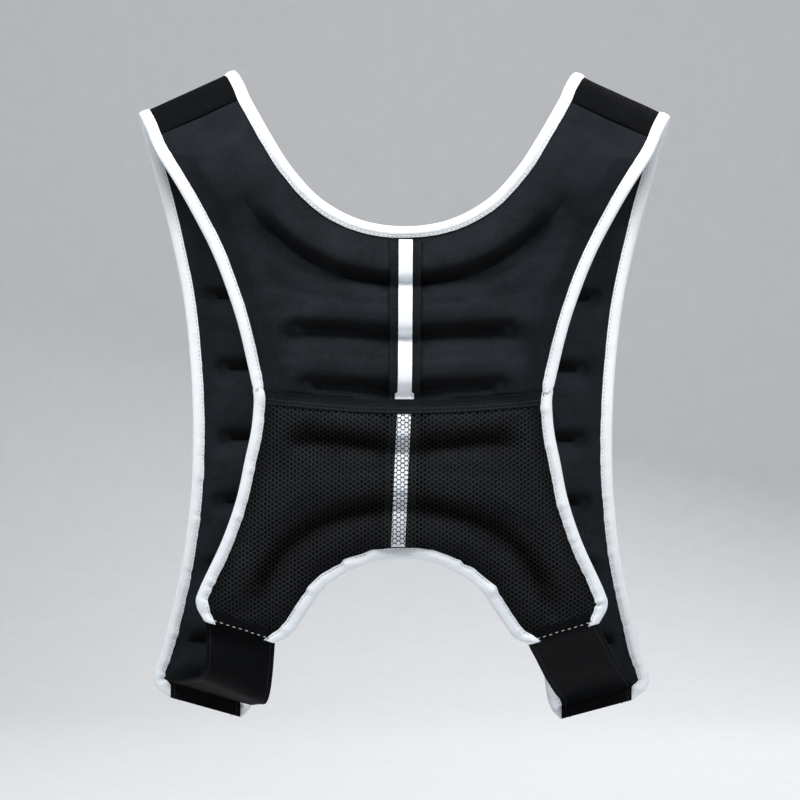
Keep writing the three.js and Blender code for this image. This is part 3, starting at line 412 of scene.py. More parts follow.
FLIP = np.array([-1.0, 1.0])
back_arm = [(a * SHOULDER_REACH, -d * BACK_LENGTH) for a, d, _, _ in BACK_ROWS.values()]
back_arm.append(seam_place(BAND_ROWS[0][0] * SHOULDER_REACH))
back_inner = [(x * (LEG_SPREAD if i < HEM_AT else NECK_REACH), -d * BACK_LENGTH)
              for i, (_, _, x, d) in enumerate(BACK_ROWS.values())]
back_inner.append(seam_place(BAND_ROWS[0][1] * NECK_REACH))
back_arm, back_inner = np.array(back_arm), np.array(back_inner)
front_arm = [seam_place(BAND_ROWS[-1][0] * SHOULDER_REACH)]
front_inner = [seam_place(BAND_ROWS[-1][1] * NECK_REACH)]
for a, d, neck, gap, inner_d in FRONT_ROWS.values():
    front_arm.append((a * SHOULDER_REACH, -d * FRONT_LENGTH))
    front_inner.append((neck * NECK_REACH + gap * FRONT_GAP, -inner_d * FRONT_LENGTH))
front_arm, front_inner = np.array(front_arm), np.array(front_inner)
hem_points, neck_points = back_inner[:HEM_AT + 1], back_inner[NECK_AT:]
middle_points = back_inner[HEM_AT:NECK_AT + 1]
centre_points = middle_points.copy()
centre_points[0, 1] += COLLAR
centre_points[-1, 1] -= COLLAR


def back_inner_at(s):
    """Inner edge of the back: the hem, then the centre line, then the neck."""
    if s <= HEM_AT:
        return curve_at(hem_points, s, after=hem_points[-2] * FLIP)[0]
    if s >= NECK_AT:
        return curve_at(neck_points, s - NECK_AT, before=neck_points[1] * FLIP)[0]
    return curve_at(middle_points, s - HEM_AT)[0]


def heading(curve, s, last):
    step = 0.02
    return unit(curve(min(s + step, last)) - curve(max(s - step, 0)))


def turned(v):
    return np.array([-v[1], v[0]])


print("Outline points:", len(back_arm), "and", len(front_arm))

# %% Rows of places across each panel
EDGE_COLUMNS = 3


def across(a, b, steps):
    return a + (b - a) * np.linspace(0, 1, steps + 1)[:, None]


def back_row(s, body_columns=1, collar_columns=1):
    """Places from the arm edge inwards, to the centre line or to the seam beside the neck or hem."""
    arm, inner = curve_at(back_arm, s)[0], back_inner_at(s)
    along = unit(inner - arm)
    at_end = s in (0, BACK_TOP)
    inward = along if at_end else turned(heading(lambda t: curve_at(back_arm, t)[0], s, BACK_TOP))
    first = arm + inward * (COVER + GAP)
    collar, side = None, None
    if s <= HEM_AT or s >= NECK_AT:
        side = -turned(heading(back_inner_at, s, BACK_TOP))
        side = np.array([0, 1.0]) if s == HEM_AT else np.array([0, -1.0]) if s == NECK_AT else side
        side = -along if at_end else side
        width = min(COLLAR, np.linalg.norm(inner - arm) / 2)
        goal = inner + side * width
        lip = inner + side * (COVER + GAP)
        collar = np.vstack([across(goal, lip, collar_columns), across(lip, inner, EDGE_COLUMNS)[1:]])
    else:
        goal = np.array([0, curve_at(centre_points, s - HEM_AT)[0][1]])
    places = np.vstack([across(arm, first, EDGE_COLUMNS), across(first, goal, body_columns)[1:]])
    return {"s": s, "places": places, "collar": collar, "arm": arm, "inward": inward,
            "inner": inner, "side": side}


def front_row(s, columns=1):
    arm, inner = curve_at(front_arm, s)[0], curve_at(front_inner, s)[0]
    along = unit(inner - arm)
    at_end = s in (0, FRONT_FOOT)
    inward = along if at_end else -turned(heading(lambda t: curve_at(front_arm, t)[0], s, FRONT_FOOT))
    side = -along if at_end else turned(heading(lambda t: curve_at(front_inner, t)[0], s, FRONT_FOOT))
    first, last = arm + inward * (COVER + GAP), inner + side * (COVER + GAP)
    places = np.vstack([across(arm, first, EDGE_COLUMNS), across(first, last, columns)[1:],
                        across(last, inner, EDGE_COLUMNS)[1:]])
    return {"s": s, "places": places, "arm": arm, "inward": inward, "inner": inner, "side": side}


def stations(last, length, cell):
    """Row positions, every whole one kept, so that no step is much longer than a cell."""
    out = [0.0]
    for i in range(last):
        steps = max(1, round(length(i) / cell))
        out.extend(i + (k + 1) / steps for k in range(steps))
    return out


def back_step(i):
    line, k = (centre_points, i - HEM_AT) if HEM_AT <= i < NECK_AT else (back_inner, i)
    return max(np.linalg.norm(back_arm[i + 1] - back_arm[i]), np.linalg.norm(line[k + 1] - line[k]))


def front_step(i):
    return max(np.linalg.norm(line[i + 1] - line[i]) for line in (front_arm, front_inner))


CELL = 3.4
BODY_COLUMNS, COLLAR_COLUMNS, FRONT_COLUMNS = 30, 8, 24
back_rows = [back_row(s, BODY_COLUMNS, COLLAR_COLUMNS) for s in stations(BACK_TOP, back_step, CELL)]
front_rows = [front_row(s, FRONT_COLUMNS) for s in stations(FRONT_FOOT, front_step, CELL)]
hem_rows = [row for row in back_rows if row["s"] <= HEM_AT]
neck_rows = [row for row in back_rows if row["s"] >= NECK_AT]
print("Rows of the back and of a front half:", len(back_rows), len(front_rows))

# %% [markdown]
# Quilting seams press the filling down. Each is a line along a row, and two more run beside the neck
# and the hem. The filling fades out under the bindings and at the panels' ends, where straps are sewn.

# %% Quilting seams
BACK_SEAMS = {"lower_seam": (0.35, 1), "middle_seam": (0.37, 1), "upper_seam": (0.36, 1)}
FRONT_SEAM = (0.2, 0.8)


def seam_line(row, share, steps=24):
    return row["arm"] + (row["places"][-1] - row["arm"]) * np.linspace(*share, steps)[:, None]


seams = {BACK: [seam_line(back_row(row_of[name]), share) for name, share in BACK_SEAMS.items()]}
seams[BACK].append(np.array([row["places"][-1] for row in neck_rows if row["s"] <= row_of["neck_high"]]))
seams[BACK].append(np.array([row["places"][-1] for row in hem_rows if row["s"] >= row_of["leg"]]))
seams[FRONT] = [seam_line(front_row(s), FRONT_SEAM) for s in range(3, 9)]
edges = {BACK: [np.array([row["arm"] for row in back_rows]), np.array([row["inner"] for row in hem_rows]),
                np.array([row["inner"] for row in neck_rows])],
         FRONT: [np.array([row[side] for row in front_rows]) for side in ("arm", "inner")]}
ends = {BACK: [np.array([row["arm"], row["inner"]]) for row in (back_rows[0], back_rows[-1])],
        FRONT: [np.array([row["arm"], row["inner"]]) for row in (front_rows[0], front_rows[-1])]}


def distance(at, lines):
    """Distance from places to the nearest of some lines, how far along it and how high over it they are."""
    best, run, over = np.full(len(at), np.inf), np.zeros(len(at)), np.zeros(len(at))
    for line in lines:
        length = 0.0
        for a, b in zip(line[:-1], line[1:]):
            span = b - a
            t = np.clip(((at - a) @ span) / max(span @ span, 1e-9), 0, 1)
            away = at - a - t[:, None] * span
            d = np.linalg.norm(away, axis=1)
            near = d < best
            over = np.where(near, away[:, 1], over)
            run = np.where(near, length + t * np.linalg.norm(span), run)
            best = np.where(near, d, best)
            length += np.linalg.norm(span)
    return best, run, over


def smooth(t):
    c = np.clip(t, 0, 1)
    return c * c * (3 - 2 * c)


def between(pair, share):
    return pair[0] + (pair[1] - pair[0]) * share


def mirrored(at):
    """Places brought over to the right half, where the lines are."""
    return np.abs(at[:, :1]) * [1, 0] + at * [0, 1]


def run_along(points):
    """How far along a line of points each of them is."""
    return np.concatenate([[0], np.cumsum(np.linalg.norm(np.diff(points, axis=0), axis=1))])


def swell(face, at):
    """Share of the full filling, before the seams press it."""
    free = np.minimum(distance(at, edges[face])[0], distance(at, ends[face])[0] - TUCK)
    return smooth((free - COVER - GAP) / PAD_RISE)


print("Seams on the back and on a front half:", len(seams[BACK]), len(seams[FRONT]))

# %% Small helpers for meshes and for seeded unevenness


def ripples(seed, waves, shortest, longest):
    """A smooth uneven field: seeded sines added up, between about -1 and 1."""
    random = np.random.default_rng(seed)
    directions = unit(random.normal(size=(waves, 3)))
    lengths = random.uniform(shortest, longest, waves)
    phases = random.uniform(0, 2 * np.pi, waves)

    def field(points):
        angle = points @ (directions * (2 * np.pi / lengths)[:, None]).T + phases
        return np.sin(angle).sum(-1) / math.sqrt(waves)
    return field


def ripples_along(run, seed, waves, shortest, longest):
    return ripples(seed, waves, shortest, longest)(np.stack([run, 0 * run, 0 * run], -1))


def grid_quads(rows, columns, first=0):
    """Quads of a grid of points that are numbered row by row, from first."""
    n = first + np.arange(rows * columns).reshape(rows, columns)
    return np.stack([n[:-1, :-1], n[1:, :-1], n[1:, 1:], n[:-1, 1:]], -1).reshape(-1, 4)


def faces_out(points, quads):
    """Whether the quads of a closed cloth face outwards, from the sign of its volume."""
    v = points[quads]
    return (v[:, 0] * np.cross(v[:, 1], v[:, 2]) + v[:, 0] * np.cross(v[:, 2], v[:, 3])).sum() > 0


def welded(grids, sides):
    """Places and quads of grids of (x, z) places, mirrored for side -1, with shared corners merged."""
    places, quads, count = [], [], 0
    for side in sides:
        for grid in grids:
            corners = grid_quads(*grid.shape[:2], first=count)
            quads.append(corners if side > 0 else corners[:, ::-1])
            places.append((grid * [side, 1]).reshape(-1, 2))
            count += len(places[-1])
    places, quads = np.concatenate(places), np.concatenate(quads)
    _, first, same = np.unique(np.round(places, 2) + 0.0, axis=0, return_index=True, return_inverse=True)
    return places[first], same.reshape(-1)[quads]


def new_object(name, points, faces, material, smooth_faces=True):
    """A mesh object at the origin, its points given in mm."""
    mesh = bpy.data.meshes.new(name)
    mesh.from_pydata((np.asarray(points) * MM).tolist(), [], faces)
    mesh.materials.append(material)
    mesh.polygons.foreach_set("use_smooth", [smooth_faces] * len(mesh.polygons))
    thing = bpy.data.objects.new(name + "_cloth", mesh)
    scene.collection.objects.link(thing)
    return thing


def two_faced(outer, inner, quads):
    """Points and faces of a closed cloth: its outer face, its inner face and a wall round the rim."""
    count = len(outer)
    start, stop = quads.reshape(-1), np.roll(quads, -1, axis=1).reshape(-1)
    free = ~np.isin(start * count + stop, stop * count + start)
    a, b = start[free], stop[free]
    rim = np.stack([b, a, a + count, b + count], -1)
    faces = np.concatenate([quads, quads[:, ::-1] + count, rim])
    points = np.concatenate([outer, inner])
    return points, (faces if faces_out(points, faces) else faces[:, ::-1]).tolist()


def strip(name, under, normal, low, high, material):
    """A closed cloth from a grid of points: its two faces lie low and high above them."""
    shape = under.shape[:2]
    low, high = (np.broadcast_to(v, shape).reshape(-1, 1) for v in (low, high))
    base, up = under.reshape(-1, 3), normal.reshape(-1, 3)
    points, faces = two_faced(base + up * high, base + up * low, grid_quads(*shape))
    return new_object(name, points, faces, material)


def points_of(thing):
    co = np.empty(len(thing.data.vertices) * 3)
    thing.data.vertices.foreach_get("co", co)
    return co.reshape(-1, 3) / MM


def set_points(thing, points):
    thing.data.vertices.foreach_set("co", (points * MM).reshape(-1))
    thing.data.update()


def skin_of(thing):
    return BVHTree.FromPolygons(points_of(thing).tolist(), [tuple(p.vertices) for p in thing.data.polygons])


def triangles(thing):
    return sum(len(p.vertices) - 2 for p in thing.data.polygons)


def piece(thing, slot, *nodes):
    """Puts the piece on its body and hides the CAD nodes that it stands for; slot, the finish's name, is not
    used.
    """
    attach(thing, "root")
    if nodes:
        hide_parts(*nodes)
    return thing


# %% [markdown]
# A quilted panel is two faces of neoprene round loose weights. A cloth simulation blows it up a little:
# the bound rim and the seams are held, and pressure lifts what lies between, so each channel takes the
# round, slightly uneven shape that a sewn one has. Seams, small puckers and lumps come after it, because
# they are finer than the simulated mesh. Each point also gets a share of painted shade, the attribute
# "fold": it is high in the seams' dents, where puffs nearly touch, and it darkens what lies under the
# pocket's net.

# %% Puffed panels
START_FILL, LIFT_CAP, SEAM_HOLD = 0.78, 3.5, 0.04
VALLEY = (10.0, 5.2)  # reach of a seam's dent, on the channel below it and on the one above
SAG, SAG_AT = 0.38, 9.0  # the weights settle low in each channel, so it bulges just above its seam
TIP_FADE, NECK_TIP_FADE, NECK_TIP_ABOVE = 6.0, 30.0, -110  # how far in from its tips a dent is shallow
# Painted shade: how dark the seams' dents are painted and how far below and above a seam; then how dark the
# panel is painted under the net.
SEAM_SHADE_DARK, SEAM_SHADE_CORE, SEAM_SHADE_FADE, SEAM_SHADE_SHARE = 0.92, (2.5, 5.7), (1.2, 4.2), (0.25, 1)  # below, above
NET_DARK, MOUTH_FADE, NET_SEAM_REACH, NET_EDGE_REACH = 0.72, 3, 8.5, 12.0
UNEVEN_HIGH, LUMP_HIGH, PUCKER_HIGH, PUCKER_PITCH, PUCKER_AT, PUCKER_REACH = 0.16, 0.06, 0.13, 8.5, 3.5, 4.5
GATHER_HIGH, GATHER_PITCH, GATHER_FROM, GATHER_REACH = (0.06, 0.3), 11, 3, 7  # beside the bindings
GATHER_BELOW, GATHER_FALL = -230, 120  # it grows towards the legs
CREASE_DEEP, CREASE_WIDE = 1.6, 1.7


def evened(thing, move, held, rounds=12):
    """Thick cloth doesn't wrinkle finely, so each free point's move is averaged with its neighbours'."""
    ends = np.empty(len(thing.data.edges) * 2, int)
    thing.data.edges.foreach_get("vertices", ends)
    a, b = ends.reshape(-1, 2).T
    count = np.bincount(ends, minlength=len(move))[:, None]
    for _ in range(rounds):
        total = np.zeros_like(move)
        np.add.at(total, a, move[b])
        np.add.at(total, b, move[a])
        move = np.where(held[:, None], move, 0.4 * move + 0.6 * total / count)
    return move


def inflate(thing, held, frames=20):
    """Blows the closed cloth up under pressure, and returns its new points in mm, capped."""
    before = points_of(thing)
    group = thing.vertex_groups.new(name="held")
    for i in np.nonzero(held)[0]:
        group.add([int(i)], 1.0, "REPLACE")
    cloth = thing.modifiers.new("cloth", "CLOTH")
    settings = cloth.settings
    settings.quality = 6
    settings.mass = 0.05
    settings.use_pressure = True
    settings.uniform_pressure_force = 4.0
    settings.vertex_group_mass = "held"
    settings.pin_stiffness = 1.0
    settings.tension_stiffness = settings.compression_stiffness = 20
    settings.shear_stiffness = 6
    settings.bending_stiffness = 12
    settings.shrink_min = -0.015
    settings.effector_weights.gravity = 0
    cloth.collision_settings.use_collision = False
    cloth.point_cache.frame_start, cloth.point_cache.frame_end = 1, frames
    for f in range(1, frames + 1):
        scene.frame_set(f)
    depsgraph = bpy.context.evaluated_depsgraph_get()
    shown = thing.evaluated_get(depsgraph)
    after = np.empty(len(before) * 3)
    shown.data.vertices.foreach_get("co", after)
    after = after.reshape(-1, 3) / MM
    scene.frame_set(1)
    thing.modifiers.remove(cloth)
    thing.vertex_groups.clear()
    move = evened(thing, after - before, held)
    far = np.linalg.norm(move, axis=1, keepdims=True)
    print(thing.name, "lifted by up to", far.max().round(2), "mm, mean", far.mean().round(2))
    return before + move * np.minimum(1, LIFT_CAP / np.maximum(far, 1e-9))


def pocket_mouth_z(x):
    """Height of the pocket band's lower edge: it curves up towards the arm bindings."""
    (reach, high_end), (_, low) = back_row(row_of["pocket"])["places"][[0, -1]]
    return low + (high_end - low) * (np.abs(x) / reach) ** 2


def from_tips(at, lines):
    """Share of a seam's full dent: none at its free ends, and all of it further in."""
    share = np.ones(len(at))
    for line in lines:
        for tip in (line[0], line[-1]):
            if abs(tip[0]) > 1:
                reach = NECK_TIP_FADE if tip[1] > NECK_TIP_ABOVE else TIP_FADE
                share = np.minimum(share, smooth(np.linalg.norm(at - tip, axis=1) / reach))
    return share


def net_shade(at, near):
    """Share of the light that the slack net loses over the seams and beside the bindings."""
    rim = distance(at, edges[BACK])[0] - COVER
    return np.maximum(0.9 * np.exp(-(near / NET_SEAM_REACH) ** 2), 0.6 * (1 - smooth(rim / NET_EDGE_REACH)))


def height_share(near, over):
    """How far above its nearest seam a place lies: nothing right below it, full right above it."""
    return smooth((1 + over / np.maximum(near, 1e-6)) / 2)


def panel(name, face, grids, sides, seed):
    """A padded panel from grids of places: blown up, then made finer, shaded and creased."""
    places, quads = welded(grids, sides)
    right, lines = mirrored(places), seams[face]
    middle, normal = place(face, places), place_normal(face, places)
    near, _, over = distance(right, lines)
    full, above = swell(face, right), height_share(near, over)
    valley = np.exp(-(near / between(VALLEY, above)) ** 2) * from_tips(right, lines)
    sag = SAG * above * near / SAG_AT * np.exp(1 - near / SAG_AT)
    start_fill = full * (START_FILL + sag - (START_FILL - SEAM_HOLD) * valley)
    outer = middle + normal * (EDGE / 2 + PAD_OUT * start_fill)[:, None]
    inner = middle - normal * (EDGE / 2 + PAD_IN * start_fill)[:, None]
    points, faces = two_faced(outer, inner, quads)
    thing = new_object(name, points, faces, NEOPRENE)
    held = (full < 1e-6) | (near < 0.6)
    set_points(thing, inflate(thing, np.concatenate([held, held])))
    finer = thing.modifiers.new("finer", "SUBSURF")
    finer.levels = finer.render_levels = 1
    mesh = bpy.data.meshes.new_from_object(thing.evaluated_get(bpy.context.evaluated_depsgraph_get()))
    thing.modifiers.clear()
    thing.data = mesh
    mesh.name = name

    points = points_of(thing)
    at = points[:, [0, 2]]
    right = mirrored(at)
    side = np.sign(((points - place(face, at)) * place_normal(face, at)).sum(1))
    near, run, over = distance(right, lines)
    rim, edge_run, _ = distance(right, edges[face])
    rim -= COVER
    full, above = swell(face, right), height_share(near, over)
    shown = from_tips(right, lines) * np.minimum(full * 1.3, 1)
    # Painted shade in the seams' dents, strongest just above each seam, stored in the attribute "fold".
    dark = np.exp(-(np.maximum(near - between(SEAM_SHADE_CORE, above), 0) / between(SEAM_SHADE_FADE, above)) ** 2)
    fold = SEAM_SHADE_DARK * shown * dark * between(SEAM_SHADE_SHARE, above)
    # Painted shade under the pocket's net, added to the same attribute.
    if face == BACK:
        covered = smooth((pocket_mouth_z(points[:, 0]) - points[:, 2]) / MOUTH_FADE) * (side > 0)
        fold = 1 - (1 - fold) * (1 - between((NET_DARK, 1), net_shade(right, near)) * covered)
    mesh.attributes.new("fold", "FLOAT", "POINT").data.foreach_set("value", fold.astype(np.float32))

    uneven = ripples(seed, 24, 16, 46)(points)
    lumps = ripples(seed + 1, 40, 7, 15)(points)
    pucker = np.sin(2 * np.pi * run / PUCKER_PITCH + 2.2 * uneven)
    pucker *= np.exp(-np.abs(near - PUCKER_AT) / PUCKER_REACH)
    gather = np.sin(2 * np.pi * edge_run / GATHER_PITCH + 1.8 * uneven)
    gather *= np.exp(-np.maximum(rim - GATHER_FROM, 0) / GATHER_REACH)
    gather *= between(GATHER_HIGH, smooth((GATHER_BELOW - points[:, 2]) / GATHER_FALL))
    crease = np.exp(-(near / CREASE_WIDE) ** 2) * shown
    lift = full * (UNEVEN_HIGH * uneven + LUMP_HIGH * lumps + PUCKER_HIGH * pucker + gather)
    lift -= CREASE_DEEP * crease * np.minimum(full * 1.6, 1)
    set_points(thing, points + place_normal(face, at) * (side * lift)[:, None])
    piece(thing, "neoprene", name)
    print(name, "has", triangles(thing), "triangles")
    return thing


def grid(rows, key="places"):
    return np.array([row[key] for row in rows])


back_grids = [grid(back_rows), grid(hem_rows, "collar"), grid(neck_rows, "collar")]
back_panel = panel("back_panel", BACK, back_grids, (1, -1), 11)
front_panels = {side: panel("front_panel_" + word, FRONT, [grid(front_rows)], (side,), 31 + side)
                for side, word in ((-1, "left"), (1, "right"))}
back_skin = skin_of(back_panel)

# %% [markdown]
# A folded tape binds every edge. Its section is a narrow fold round the panel's rim, and it is swept
# along frames that stand on the body form, so it turns with the edge. Sewing pulls it in a little at
# each stitch, and it puckers most where the edge curves tightly, which small waves in its width give.
# The hem's tape also has four kinks, where it bulges over a width of a few millimetres.

# %% Bindings
FOLD = EDGE / 2 + GAP


def binding_section():
    """(inward, up) of the tape's outer contour, then of its inner contour, in mm."""
    top = [(COVER, FOLD + 0.25), (COVER - 0.25, FOLD + 0.75), (COVER - 1.2, FOLD + 0.55),
           (COVER - 2.4, FOLD + 1.0), (5, FOLD + 1.2), (3, FOLD + 1.2), (1.2, FOLD + 1.0)]
    nose = [(GAP - (GAP + WALL + GAP) * math.cos(a), (FOLD + 0.9) * math.sin(a))
            for a in np.radians([62, 40, 20, 0, -20, -40, -62])]
    foot = [(u, -w) for u, w in reversed(top)]
    under = [(COVER, -FOLD - 0.02), (3, -FOLD - 0.02), (0, -FOLD + 0.2)]
    hollow = [*under, (-GAP - 0.1, 0), *((u, -w) for u, w in reversed(under))]
    return np.array(top + nose + foot + hollow), len(hollow)


SECTION, HOLLOW_POINTS = binding_section()
TAPE_STEP, BEND_REACH = 1.6, 8
KINK_WIDE, PINCH_AT, PINCH_WIDE = 1.4, 2.8, 1.3
DENT_CAP, STITCH_INSET, STITCH_OVER = -0.45, 1.25, 0.72
TURN_REACH, TURN_PLAIN = 15, 5.0


def framed(edge, inside, normal):
    """Frames of edge point, inward direction and normal, from points a little further in."""
    inward = inside - edge
    inward = unit(inward - (inward * normal).sum(-1, keepdims=True) * normal)
    return np.stack([edge, inward, normal], 1)


def frames_on(face, at, toward):
    return framed(place(face, at), place(face, at + toward * COVER), place_normal(face, at))


def band_x(share):
    s = (share + 1) / 2 * (len(BAND_ROWS) - 1)
    both = curve_at(np.array(BAND_ROWS), s)
    return both[:, 0] * SHOULDER_REACH, both[:, 1] * NECK_REACH


def frames_over(which, sign, steps=44):
    share = np.linspace(-1, 1, steps + 2)[1:-1]
    x, turn = band_x(share)[which], share * SEAM_TURN
    slope = math.cos(math.atan2(SHOULDER_FALL, SHOULDER_REACH - NECK_REACH))
    return framed(arch_point(x, turn), arch_point(x + sign * COVER * slope, turn), arch_normal(x, turn))


def resampled(frames, step):
    """The same frames at even steps along the edge."""
    run = run_along(frames[:, 0])
    goal = np.linspace(0, run[-1], max(int(run[-1] / step), 2) + 1)
    out = [np.interp(goal, run, frames[:, i, k]) for i in range(3) for k in range(3)]
    out = np.stack(out, -1).reshape(-1, 3, 3)
    out[:, 1], out[:, 2] = unit(out[:, 1]), unit(out[:, 2])
    return out, goal


def tape_round(name, frames, seed, kinks=()):
    """The binding along some frames, and the lines that its stitches follow on both of its faces."""
    frames, run = resampled(frames, TAPE_STEP)
    bend = np.linalg.norm(np.gradient(frames[:, 1], run, axis=0), axis=1)
    window = 2 * BEND_REACH + 1
    bend = np.convolve(np.pad(bend, BEND_REACH, mode="edge"), np.ones(window) / window, "valid")
    low = smooth((-150 - frames[:, 0, 2]) / 250)
    slack = 0.18 + 0.9 * np.clip(bend * 30, 0, 1) * (0.4 + low) + 0.5 * low
    wave = ripples_along(run, seed, 14, 5, 16)
    drift = ripples_along(run, seed + 1, 8, 30, 90)
    aside = np.abs(frames[:, 0, 0])[:, None] - np.array(kinks)
    kink = np.exp(-(aside / KINK_WIDE) ** 2).sum(1)
    pinch = np.exp(-((aside - PINCH_AT) / PINCH_WIDE) ** 2).sum(1)
    wide = 1 + 0.05 * slack * wave + 0.02 * drift + 0.1 * kink - 0.05 * pinch
    section = np.repeat(SECTION[None], len(run), 0)
    leg = smooth(section[..., 0] / 4) * smooth((COVER - section[..., 0]) / 1.5)
    section[..., 0] *= np.where(section[..., 0] > 1, wide[:, None], 1)
    size = len(SECTION)
    outer = np.arange(size) < size - HOLLOW_POINTS
    puff = (0.55 * slack * wave + 0.9 * kink - 0.5 * pinch)[:, None] * leg * outer
    section[..., 1] += np.maximum(puff, DENT_CAP) * np.sign(section[..., 1])
    edge, inward, normal = (frames[:, i] for i in range(3))
    points = edge[:, None] + section[..., :1] * inward[:, None] + section[..., 1:] * normal[:, None]
    points = points.reshape(-1, 3)
    n = np.arange(len(run) * size).reshape(-1, size)
    m = np.roll(n, -1, axis=1)
    quads = np.stack([n[:-1], m[:-1], m[1:], n[1:]], -1).reshape(-1, 4)
    caps = [n[0, ::-1].tolist(), n[-1].tolist()]
    if not faces_out(points, quads):
        quads, caps = quads[:, ::-1], [cap[::-1] for cap in caps]
    thing = new_object(name, points, quads.tolist() + caps, BINDING)
    piece(thing, "binding", name)
    sewn = edge + inward * (COVER * wide - STITCH_INSET)[:, None]
    return [sewn + normal * sign * (FOLD + STITCH_OVER) for sign in (1, -1)]


def flipped(frames):
    return frames * [-1, 1, 1]


def rows_on(face, rows, at, toward):
    return frames_on(face, np.array([row[at] for row in rows]), np.array([row[toward] for row in rows]))


arm_frames = np.concatenate([rows_on(BACK, back_rows, "arm", "inward"), frames_over(0, -1),
                             rows_on(FRONT, front_rows, "arm", "inward")])
neck_half = np.concatenate([rows_on(BACK, neck_rows, "inner", "side"), frames_over(1, 1),
                            rows_on(FRONT, front_rows, "inner", "side")])
hem_half = rows_on(BACK, hem_rows, "inner", "side")


def eased(frames):
    """The same frames, which turn slowly, not sharply, to the cut at the first one's end."""
    run = run_along(frames[:, 0])
    square = frames[np.searchsorted(run, TURN_PLAIN), 1]
    share = smooth(1 - run / TURN_REACH)[:, None]
    fresh = frames.copy()
    plain_inward = np.where(run[:, None] < TURN_PLAIN, square, frames[:, 1])
    fresh[:, 1] = unit(plain_inward + (frames[0, 1] - plain_inward) * share)
    return fresh


arm_frames = eased(eased(arm_frames)[::-1])[::-1]
neck_half, hem_half = eased(neck_half[::-1])[::-1], eased(hem_half)
binding_lines = []
for side, word in ((1, "right"), (-1, "left")):
    half = arm_frames if side > 0 else flipped(arm_frames)
    binding_lines += tape_round("arm_binding_" + word, half, 50 + side)
neck_frames = np.concatenate([flipped(neck_half)[:0:-1], neck_half])
binding_lines += tape_round("neck_binding", neck_frames, 60)
hem_frames = np.concatenate([hem_half, flipped(hem_half)[-2::-1]])
binding_lines += tape_round("hem_binding", hem_frames, 70, kinks=(61, 38))

# %% [markdown]
# Each shoulder band is elastic with ribs that run across the strap, parallel to its seams. The ribs are
# real relief: rows of points every third of a millimetre, raised and lowered.

# %% Shoulder bands
RIB = 2.3


def ribbed(run, pitch, depth):
    return depth * (np.abs(np.sin(np.pi * run / pitch)) ** 0.7 - 0.6)


for side, word in ((1, "right"), (-1, "left")):
    share = np.linspace(-1, 1, 330) * 0.9925
    arm_x, neck_x = band_x(share)
    turn = share * SEAM_TURN
    t = np.concatenate([[0, 0.02], np.linspace(0.06, 0.94, 22), [0.98, 1]])
    x = arm_x[:, None] + (neck_x - arm_x)[:, None] * t
    turns = np.broadcast_to(turn[:, None], x.shape)
    middle, normal = arch_point(x, turns), arch_normal(x, turns)
    run = run_along(middle[:, 12])
    from_seam = np.minimum(run, run[-1] - run)
    relief = ribbed(run, RIB, 0.42) * smooth((from_seam - 3.2) / 1.0)
    relief -= 0.7 * np.exp(-((from_seam - 3.6) / 0.7) ** 2) + 0.7 * np.exp(-((from_seam - 1.2) / 0.6) ** 2)
    relief = relief[:, None] + 0.25 * ripples(80 + side, 12, 14, 50)(middle)
    band = strip("shoulder_band_" + word, middle * [side, 1, 1], normal * [side, 1, 1],
                 -EDGE / 2 - relief * 0.6, EDGE / 2 + relief, ELASTIC)
    piece(band, "elastic", "shoulder_band_" + word)
    width = np.linalg.norm(middle[165, -1] - middle[165, 0])
    print(band.name, "is", round(width), "by", round(run[-1]), "mm flat, with", triangles(band), "triangles")

# %% [markdown]
# Ribbed webbing runs down the middle of the back, sewn over the quilting, with a narrow reflective tape
# on it. Both follow the puffs, so their height is read off the finished panel by casting rays at it.

# %% Centre webbing and reflective tape
WEB_WIDTH, WEB_THICK, WEB_RIB = 22, 1.0, 1.37
TAPE_WIDTH, TAPE_THICK = 10, 0.4
web_top = back_inner[NECK_AT, 1] - COVER - GAP
web_foot = back_inner[HEM_AT, 1] + COVER + GAP


def skin_depth(skin, x, z):
    """How far back (-Y) the skin lies at a place; nothing found gives nan."""
    hit = skin.ray_cast((x, -400, z), (0, 1, 0))[0]
    return -hit[1] if hit else np.nan


def draped(values, reach):
    """A line of depths as cloth spans it: the running highest one, then the running mean of those."""
    tops = np.array([values[max(i - reach, 0):i + reach + 1].max() for i in range(len(values))])
    window = 2 * reach + 1
    return np.convolve(np.pad(tops, reach, mode="edge"), np.ones(window) / window, "valid")


heights = np.arange(web_foot, web_top, 1.0)
probe = np.array([[skin_depth(back_skin, x, z) for x in np.linspace(-11, 11, 9)] for z in heights])
envelope = draped(np.nanmax(probe, axis=1), 3)


def web_depth(z):
    return np.interp(z, heights, envelope) + GAP


SEWN_HEIGHTS, SEWN_ASIDE = (-328, -282, -237, -205), (-2.9, -1.1, 0.7, 1.4)


def centre_at(z):
    """The strips were sewn a little off the centre line, the lower tape more and more so."""
    return np.interp(z, SEWN_HEIGHTS, SEWN_ASIDE)


def flat_strip(name, zs, xs, under, thick, material):
    depth = web_depth(zs) + under
    x = xs + centre_at(zs)[:, None]
    base = np.stack([x, np.broadcast_to(-depth[:, None], x.shape), np.broadcast_to(zs[:, None], x.shape)], -1)
    normal = np.broadcast_to([0.0, -1.0, 0.0], base.shape)
    return strip(name, base[:, ::-1], normal, 0.0, thick[:, ::-1], material)


zs = np.arange(web_foot, web_top, WEB_RIB / 6)
xs = np.array([-11, -10.6, -9.6, -9.2, -8.4, -4, 0, 4, 8.4, 9.2, 9.6, 10.6, 11])
selvedge = np.exp(-((np.abs(xs) - 10.1) / 0.8) ** 2)
thick = WEB_THICK + ribbed(zs, WEB_RIB, 0.5)[:, None] * (1 - 0.6 * selvedge) + 0.1 * selvedge
webbing = piece(flat_strip("centre_webbing", zs, xs, 0.0, thick, WEBBING), "webbing", "centre_webbing")

